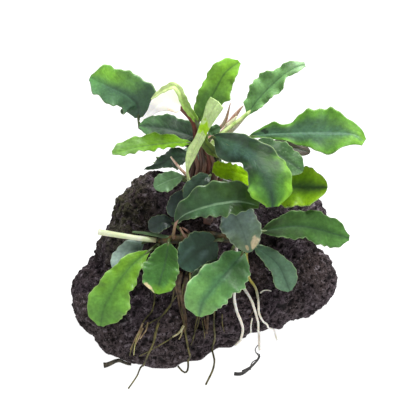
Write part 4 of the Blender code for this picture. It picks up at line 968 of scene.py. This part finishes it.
def dress(piece: bpy.types.Object, name: str, slot: str, *materials: bpy.types.Material) -> None:
    """Give a piece its materials, hang it under the root body and hide the solid that it takes the place
    of.

    Args:
        piece: The finished piece.
        name: What the plant's part is called, which is also the name of its solid if it has one.
        slot: Not used.
        materials: What it is made of, for an empty slot list.
    """
    for material in materials:
        piece.data.materials.append(material)
    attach(piece, "root")
    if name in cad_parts:
        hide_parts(name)


@dataclass
class LavaStone:
    """The lump of lava that the plant holds on to."""

    node: str = "stone"
    voxel: float = 0.7
    quick_voxel: float = 2.4
    softening: int = 2
    seed: int = 5                                # of the unevenness of the holes
    lumps: tuple = ((5.0, 0.6), (2.1, 1.1))      # size and height of each order of bumps
    lump_start: tuple = (4.2, 1.7, 8.3)
    pits: tuple = ((5.6, 0.8, 0.45), (2.8, 0.8, 0.6))   # spacing, depth and share of cells holed
    warp: tuple = (0.8, 0.5)                     # size, in spacings, and strength of their unevenness
    luck_spread: float = 3.7                     # so that each cell has a luck of its own
    hole_wide: tuple = (0.3, 0.25)               # least width of a hole in its cell, and more by luck
    hole_steep: float = 1.4
    sole: float = 0.6                            # height below which the skin is flat underneath
    start: float = 0.3                           # height at which the relief begins
    rising: float = 1.6                          # height over which it grows to its full size

    def build(self) -> bpy.types.Object:
        """Copy the solid, make its skin fine and even, and hollow it.

        Returns:
            The stone.
        """
        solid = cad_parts[self.node]
        low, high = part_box(self.node)
        deselect_all()
        stone = bpy.data.objects.new("lava_stone", solid.data.copy())
        bpy.context.scene.collection.objects.link(stone)
        bpy.context.view_layer.objects.active = stone
        stone.select_set(True)
        bpy.ops.object.mode_set(mode="EDIT")
        bpy.ops.mesh.select_all(action="SELECT")
        bpy.ops.mesh.remove_doubles(threshold=0.001 * MM)
        bpy.ops.object.mode_set(mode="OBJECT")
        stone.data.materials.clear()
        fuse = stone.modifiers.new("Fuse", "REMESH")
        fuse.mode = "VOXEL"
        fuse.voxel_size = self.voxel * MM
        bpy.ops.object.modifier_apply(modifier=fuse.name)
        soften = stone.modifiers.new("Soften", "SMOOTH")
        soften.iterations = self.softening
        bpy.ops.object.modifier_apply(modifier=soften.name)
        self.weather(stone, low, high)
        bpy.ops.object.shade_smooth()
        dress(stone, self.node, "lava_stone", LavaFinish().material())
        return stone

    def weather(self, stone: bpy.types.Object, low: Vector, high: Vector) -> None:
        """Raise bumps, sink gas holes and keep the underside flat.

        Args:
            stone: The stone, with a fine and even skin.
            low: The lowest corner that it may reach.
            high: The highest corner that it may reach.
        """
        noise.seed_set(self.seed)
        normals = [vertex.normal.copy() for vertex in stone.data.vertices]
        hollow = []
        for vertex, normal in zip(stone.data.vertices, normals):
            place = vertex.co / MM
            rise, depth = self.relief(place)
            fade = min(max((place.z - self.start) / self.rising, 0.0), 1.0)
            moved = vertex.co + normal * rise * fade * MM
            moved.x = min(max(moved.x, low.x), high.x)
            moved.z = max(moved.z, 0.0) if place.z > self.sole else 0.0
            vertex.co = moved
            hollow.append(depth * fade)
        depths = stone.data.attributes.new("hollow", "FLOAT", "POINT")
        depths.data.foreach_set("value", hollow)

    def relief(self, place: Vector) -> tuple[float, float]:
        """How far the skin moves at a place, and how deep in a hole it is.

        Args:
            place: In millimetres.

        Returns:
            The rise in millimetres and the depth from 0 to 1.
        """
        rise = 0.0
        for size, height in self.lumps:
            rise += height * noise.noise(place / size + Vector(self.lump_start))
        depth = 0.0
        warp_size, warp_strength = self.warp
        least_wide, more_wide = self.hole_wide
        for spacing, deep, share in self.pits:
            warp = noise.noise_vector(place / (warp_size * spacing)) * warp_strength
            away, cells = noise.voronoi(place / spacing + warp)
            luck = 0.5 + 0.5 * noise.cell(cells[0] * self.luck_spread)
            if luck > share:
                continue
            wide = least_wide + more_wide * luck / share
            hole = min(self.hole_steep * max(1 - (away[0] / wide) ** 2, 0.0), 1.0)
            rise -= deep * hole
            depth = max(depth, hole)
        return rise, depth


class Station(NamedTuple):
    """A place on a midrib."""

    place: Vector
    ahead: Vector                    # the way that the midrib runs
    up: Vector                       # the way that the upper side looks, square to the midrib


@dataclass
class Foliage:
    """All leaves of the plant."""

    palette: Palette
    lengthwise: int = 64
    across: int = 20
    roundness: float = 0.55          # of a regular blade: 1 is a straight taper, 0 a square end
    thickness: float = 0.42
    tip_size: float = 0.12           # least half width
    wave_lag: float = 0.37           # that one margin's waves are behind the other's
    scallop: float = 0.05            # of the half width, in step with the waves
    ripple_power: float = 1.7        # the higher, the nearer to the margin the waves stay
    frill_power: float = 4.0         # the same for the small folds
    frill_start: float = 1.3         # radians by which the small folds are ahead of the waves
    groove: tuple = (0.28, 0.08)     # depth along the midrib that ends at the tip, and that stays
    groove_width: float = 0.7
    foot_depth: float = 0.8          # how far inside the stem the petiole begins
    foot_flare: float = 0.45         # how much thicker it is there, as a share of its radius
    foot_share: float = 1 / 3        # of the petiole that is flared
    stalk_steps: int = 8
    rib_steps: int = 13
    rib_end: float = 0.97            # share of the blade that the raised midrib reaches
    rib_taper: float = 1.3
    rib_least: float = 0.16          # its least radius
    rib_thinning: tuple = (0.4, 0.15)   # share of the radius that is left, by this share of the blade
    rib_sink: float = 0.25           # how much deeper than its radius it lies under the blade
    stalk_fade: float = 0.07         # share of the blade over which the petiole sinks under it

    def build(self, leaf: Leaf, stems: list[BVHTree]) -> bpy.types.Object:
        """Make a leaf as a blade with its petiole and midrib.

        Args:
            leaf: The leaf's row in the table.
            stems: The solid stems' surfaces.

        Returns:
            The leaf.
        """
        hits = [stem.find_nearest(Vector(leaf.stalk[0]) * MM) for stem in stems]
        place, normal, _, _ = min(hits, key=lambda hit: hit[3])
        start = (place + normal * (leaf.petiole + GAP) * MM) / MM
        line = smooth_line((tuple(start), *leaf.stalk[1:], *leaf.rib))
        split = len(leaf.stalk) * LINE_STEPS
        inside = place - normal * self.foot_depth * MM
        stalk = self.make_stalk(leaf, [inside, *line[:split]], line[split:])
        blade = self.make_blade(leaf, line[split:])
        deselect_all()
        stalk.select_set(True)
        blade.select_set(True)
        bpy.context.view_layer.objects.active = blade
        bpy.ops.object.join()
        dress(blade, leaf.name, "spathe" if leaf.kind is LeafKind.SPATHE else "leaf")
        return blade

    def outline(self, leaf: Leaf, t: float) -> float:
        """How wide a regular blade is.

        Args:
            leaf: The leaf's row in the table.
            t: Share of the blade's length.

        Returns:
            The width there, as a share of the widest.
        """
        rise = self.roundness * leaf.broadest / (1 - leaf.broadest)
        peak = leaf.broadest ** rise * (1 - leaf.broadest) ** self.roundness
        return t ** rise * (1 - t) ** self.roundness / peak

    def station(self, leaf: Leaf, rib: list[Vector], t: float) -> Station:
        """The place at a share of the midrib, with its directions.

        Args:
            leaf: The leaf's row in the table.
            rib: The midrib's line.
            t: Share of the blade's length.

        Returns:
            The place, the way that the midrib runs and the way that the upper side looks.
        """
        ahead = heading(rib, t)
        face = Vector(leaf.face).normalized()
        return Station(spot_along(rib, t), ahead, (face - face.dot(ahead) * ahead).normalized())

    def make_blade(self, leaf: Leaf, rib: list[Vector]) -> bpy.types.Object:
        """Shape a flat grid into the waved blade and give it a thickness.

        Args:
            leaf: The leaf's row in the table.
            rib: The midrib's line.

        Returns:
            The blade.
        """
        deselect_all()
        bpy.ops.mesh.primitive_grid_add(x_subdivisions=self.lengthwise, y_subdivisions=self.across,
                                        size=2.0, calc_uvs=True)
        blade = bpy.context.object
        blade.name = leaf.name + "_blade"
        stations = {}
        for vertex in blade.data.vertices:
            x, y, _ = vertex.co
            even = 0.5 * (x + 1)
            # Rows of faces lie closer together at both ends
            t = 0.5 * even + 0.25 * (1 - math.cos(math.pi * even))
            key = round(even, 5)
            if key not in stations:
                stations[key] = self.station(leaf, rib, t)
            vertex.co = self.shape(leaf, stations[key], t, -y)
        solid = blade.modifiers.new("Flesh", "SOLIDIFY")
        solid.thickness = self.thickness * MM
        solid.offset = -1.0
        solid.material_offset = 1
        bpy.ops.object.modifier_apply(modifier=solid.name)
        bpy.ops.object.shade_smooth()
        for kind in (leaf.kind, leaf.under):
            blade.data.materials.append(self.palette.get(kind))
        for face in blade.data.polygons:
            face.material_index = min(face.material_index, 1)
        return blade

    def shape(self, leaf: Leaf, station: Station, t: float, hand: float) -> Vector:
        """Where a point of the blade's upper side lies.

        Args:
            leaf: The leaf's row in the table.
            station: The midrib's place beside it.
            t: Share of the blade's length.
            hand: Place across the blade, from -1 at the left margin to 1 at the right one.

        Returns:
            The place in metres.
        """
        way = 1 if hand > 0 else -1
        side = station.ahead.cross(station.up)
        reaches = leaf.left if way < 0 else leaf.right
        teeth = leaf.teeth[0] if way < 0 else leaf.teeth[1]
        turn = math.tau * (leaf.waves * t + self.wave_lag * way) + leaf.phase
        swell = math.sqrt(max(math.sin(math.pi * t), 0.0))
        half = even_value(reaches, t) if reaches else 0.5 * leaf.width * self.outline(leaf, t)
        half = max(half, self.tip_size)
        frill = math.sin(leaf.crimps * turn + self.frill_start)
        out = abs(hand)
        reach = out * half * (1 + self.scallop * math.cos(turn) + teeth * frill * swell)
        lift = math.radians(leaf.fold)
        rise = reach * math.sin(lift)
        rise += leaf.ripple * math.sin(turn) * swell * out ** self.ripple_power
        rise += leaf.frill * frill * swell * out ** self.frill_power
        ending, staying = self.groove
        groove = (ending * (1 - t) + staying) * leaf.kind.value.quilting
        rise -= groove * math.exp(-(hand * half / self.groove_width) ** 2) * swell
        return station.place + (side * way * reach * math.cos(lift) + station.up * rise) * MM

    def make_stalk(self, leaf: Leaf, stalk: list[Vector], rib: list[Vector]) -> bpy.types.Object:
        """The petiole, which runs on under the blade as its midrib.

        Args:
            leaf: The leaf's row in the table.
            stalk: The petiole's line, from inside the stem.
            rib: The midrib's line.

        Returns:
            A tube that thins towards the leaf's tip.
        """
        places = []
        radii = []
        for i in range(self.stalk_steps):
            share = i / self.stalk_steps
            places.append(spot_along(stalk, share))
            flare = 1 + self.foot_flare * max(1 - share / self.foot_share, 0.0)
            radii.append(leaf.petiole * flare)
        kept, thinning = self.rib_thinning
        for i in range(self.rib_steps + 1):
            t = self.rib_end * i / self.rib_steps
            station = self.station(leaf, rib, t)
            part = (1 - t) ** self.rib_taper * eased(kept, max(1 - t / thinning, 0.0))
            radius = max(leaf.petiole * part, self.rib_least)
            sink = (radius + self.rib_sink) * min(t / self.stalk_fade, 1.0)
            places.append(station.place - station.up * sink * MM)
            radii.append(radius)
        tube = draw_tube(leaf.name + "_stalk", places, radii)
        tube.data.materials.append(self.palette.get(leaf.petiole_kind))
        return tube


@dataclass
class Stock:
    """The creeping rhizome, the upright stems and the leafless stalks on them."""

    palette: Palette
    rings: int = 60
    sides: int = 16
    scar_spacing: float = 3.4        # between the rings that fallen leaves left
    scar_height: float = 0.22
    scar_base: float = 0.05          # by which a ringed stem is thinner than its row says
    end_share: float = 0.6           # of its radius at its very ends
    end_slope: float = 6.0           # how fast it gains the rest, by shares of its length

    def build(self, stem: Stem, scarred: bool) -> bpy.types.Object:
        """Make a stem whose radius passes evenly from one point's to the next.

        Args:
            stem: The stem's row in the table.
            scarred: Whether leaf scars ring it.

        Returns:
            The stem.
        """
        line = smooth_line(stem.points)
        length = length_of(line) / MM
        places = []
        radii = []
        for i in range(self.rings + 1):
            share = i / self.rings
            step, part = divmod(min(share, BEFORE_END) * (len(stem.radii) - 1), 1)
            step = int(step)
            radius = stem.radii[step] * (1 - part) + stem.radii[step + 1] * part
            if scarred:
                ring = abs(math.sin(math.pi * share * length / self.scar_spacing))
                radius -= self.scar_height * ring + self.scar_base
                radius *= min(self.end_share + self.end_slope * min(share, 1 - share), 1.0)
            places.append(spot_along(line, share))
            radii.append(radius)
        piece = draw_tube(stem.name + "_skin", places, radii, self.sides)
        dress(piece, stem.name, "stem" if scarred else "pale_stalk", self.palette.get(stem.kind))
        return piece


@dataclass
class RootSystem:
    """Roots that run down the stone's face and over the ground."""

    palette: Palette
    stone: BVHTree
    step: float = 1.5
    least_steps: int = 6
    cling: float = 5.0               # a root nearer than this to the stone lies on it
    evening: int = 2                 # rounds in which its kinks are evened out
    knobs: tuple = (2.2, 0.16)       # size of its swellings, and their height by its radius

    def build(self, root: Root) -> bpy.types.Object:
        """Lay a root on the stone.

        Args:
            root: The root's row in the table.

        Returns:
            The root.
        """
        line = smooth_line(root.points)
        count = max(self.least_steps, round(length_of(line) / (self.step * MM)))
        places = []
        radii = []
        for i in range(count + 1):
            share = i / count
            radius = root.thick * (1 - share) + root.thin * share
            place = spot_along(line, share)
            hit, normal, _, distance = self.stone.find_nearest(place)
            outside = (place - hit).dot(normal) > 0
            if distance < self.cling * MM or not outside:
                place = hit + normal * (radius + GAP) * MM
            place.z = max(place.z, radius * MM)
            places.append(place)
            radii.append(radius)
        for _ in range(self.evening):
            inner = [(a + 2 * b + c) / 4 for a, b, c in zip(places, places[1:], places[2:])]
            places = [places[0], *inner, places[-1]]
        self.lift(places, radii)
        size, height = self.knobs
        knobbly = [r * (1 + height * noise.noise(p / (size * MM))) for r, p in zip(radii, places)]
        piece = draw_tube(root.name + "_strand", places, knobbly)
        slot = "root_white" if "white" in root.name else "root_brown"
        dress(piece, root.name, slot, self.palette.get(root.kind))
        return piece

    def lift(self, places: list[Vector], radii: list[float]) -> None:
        """Raise each place that has come too near the stone.

        Args:
            places: The root's path.
            radii: Its radius at each place.
        """
        for i, (place, radius) in enumerate(zip(places, radii)):
            hit, normal, _, _ = self.stone.find_nearest(place)
            short = (radius + 0.5 * GAP) * MM - (place - hit).dot(normal)
            if 0 < short < self.cling * MM:
                place = place + normal * short
            place.z = max(place.z, radius * MM)
            places[i] = place


@dataclass
class Studio:
    """White floor, even light and the camera."""

    elevation: float = 35.0
    distance: float = 800.0
    lens: float = 137.0
    sensor: float = 36.0
    nearest: float = 10.0                        # that the camera still sees
    target: tuple = (4.0, 0.0, 62.9)
    floor_size: float = 30000.0
    floor_drop: float = 0.2                      # below the stone's underside
    floor_shade: float = 0.2                     # how much of a shadow it shows
    surround: float = 0.45                       # strength of the white surround
    lamp_place: tuple = (250.0, 100.0, 900.0)
    lamp_size: float = 300.0
    lamp_watts: float = 12.0

    def build(self) -> None:
        """Set up the floor, the light and the camera."""
        self.lay_floor()
        self.light()
        self.place_camera()

    def lay_floor(self) -> None:
        """A wide white floor just under the stone."""
        deselect_all()
        bpy.ops.mesh.primitive_plane_add(size=self.floor_size * MM,
                                         location=(0, 0, -self.floor_drop * MM))
        floor = bpy.context.object
        floor.name = "floor"
        material, _, shader = new_material("white_paper")
        shade = self.floor_shade
        fill_inputs(shader, {"Base Color": (shade, shade, shade, 1.0), "Roughness": 0.9,
                             "Specular IOR Level": 0.0, "Emission Color": WHITE,
                             "Emission Strength": 1.0})
        floor.data.materials.append(material)

    def light(self) -> None:
        """An even white surround and one large soft light from above."""
        world = bpy.data.worlds.new("white_surround")
        world.use_nodes = True
        bpy.context.scene.world = world
        fill_inputs(world.node_tree.nodes["Background"], {"Color": WHITE, "Strength": self.surround})
        bpy.ops.object.light_add(type="AREA", location=Vector(self.lamp_place) * MM)
        lamp = bpy.context.object
        lamp.name = "overhead_softbox"
        lamp.data.shape = "SQUARE"
        lamp.data.size = self.lamp_size * MM
        lamp.data.energy = self.lamp_watts
        aim = Vector(self.target) * MM - lamp.location
        lamp.rotation_euler = aim.to_track_quat("-Z", "Y").to_euler()

    def place_camera(self) -> None:
        """Look down at the plant from the front."""
        tilt = math.radians(self.elevation)
        back = Vector((0, -math.cos(tilt), math.sin(tilt))) * self.distance * MM
        bpy.ops.object.camera_add(location=Vector(self.target) * MM + back,
                                  rotation=(math.radians(90) - tilt, 0, 0))
        camera = bpy.context.object
        camera.data.lens = self.lens
        camera.data.sensor_width = self.sensor
        camera.data.clip_start = self.nearest * MM
        bpy.context.scene.camera = camera


def main() -> None:
    """Build every piece and the studio."""
    logging.basicConfig(level=logging.INFO, format="%(message)s")
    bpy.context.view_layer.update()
    palette = Palette()
    stone = LavaStone().build()
    log.info("%s: %d faces", stone.name, len(stone.data.polygons))

    solid_stems = [surface_of(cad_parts[stem.name]) for stem in STEMS]
    stock = Stock(palette)
    for stem in STEMS:
        log.info("stem %s", stock.build(stem, scarred=True).name)
    for stalk in STALKS:
        log.info("stalk %s", stock.build(stalk, scarred=False).name)

    foliage = Foliage(palette)
    for leaf in LEAVES:
        log.info("leaf %s", foliage.build(leaf, solid_stems).name)

    roots = RootSystem(palette, surface_of(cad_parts["stone"]))
    for root in ROOTS:
        log.info("root %s", roots.build(root).name)

    Studio().build()
    bpy.context.scene.view_settings.view_transform = "Standard"


if __name__ == "__main__":
    main()
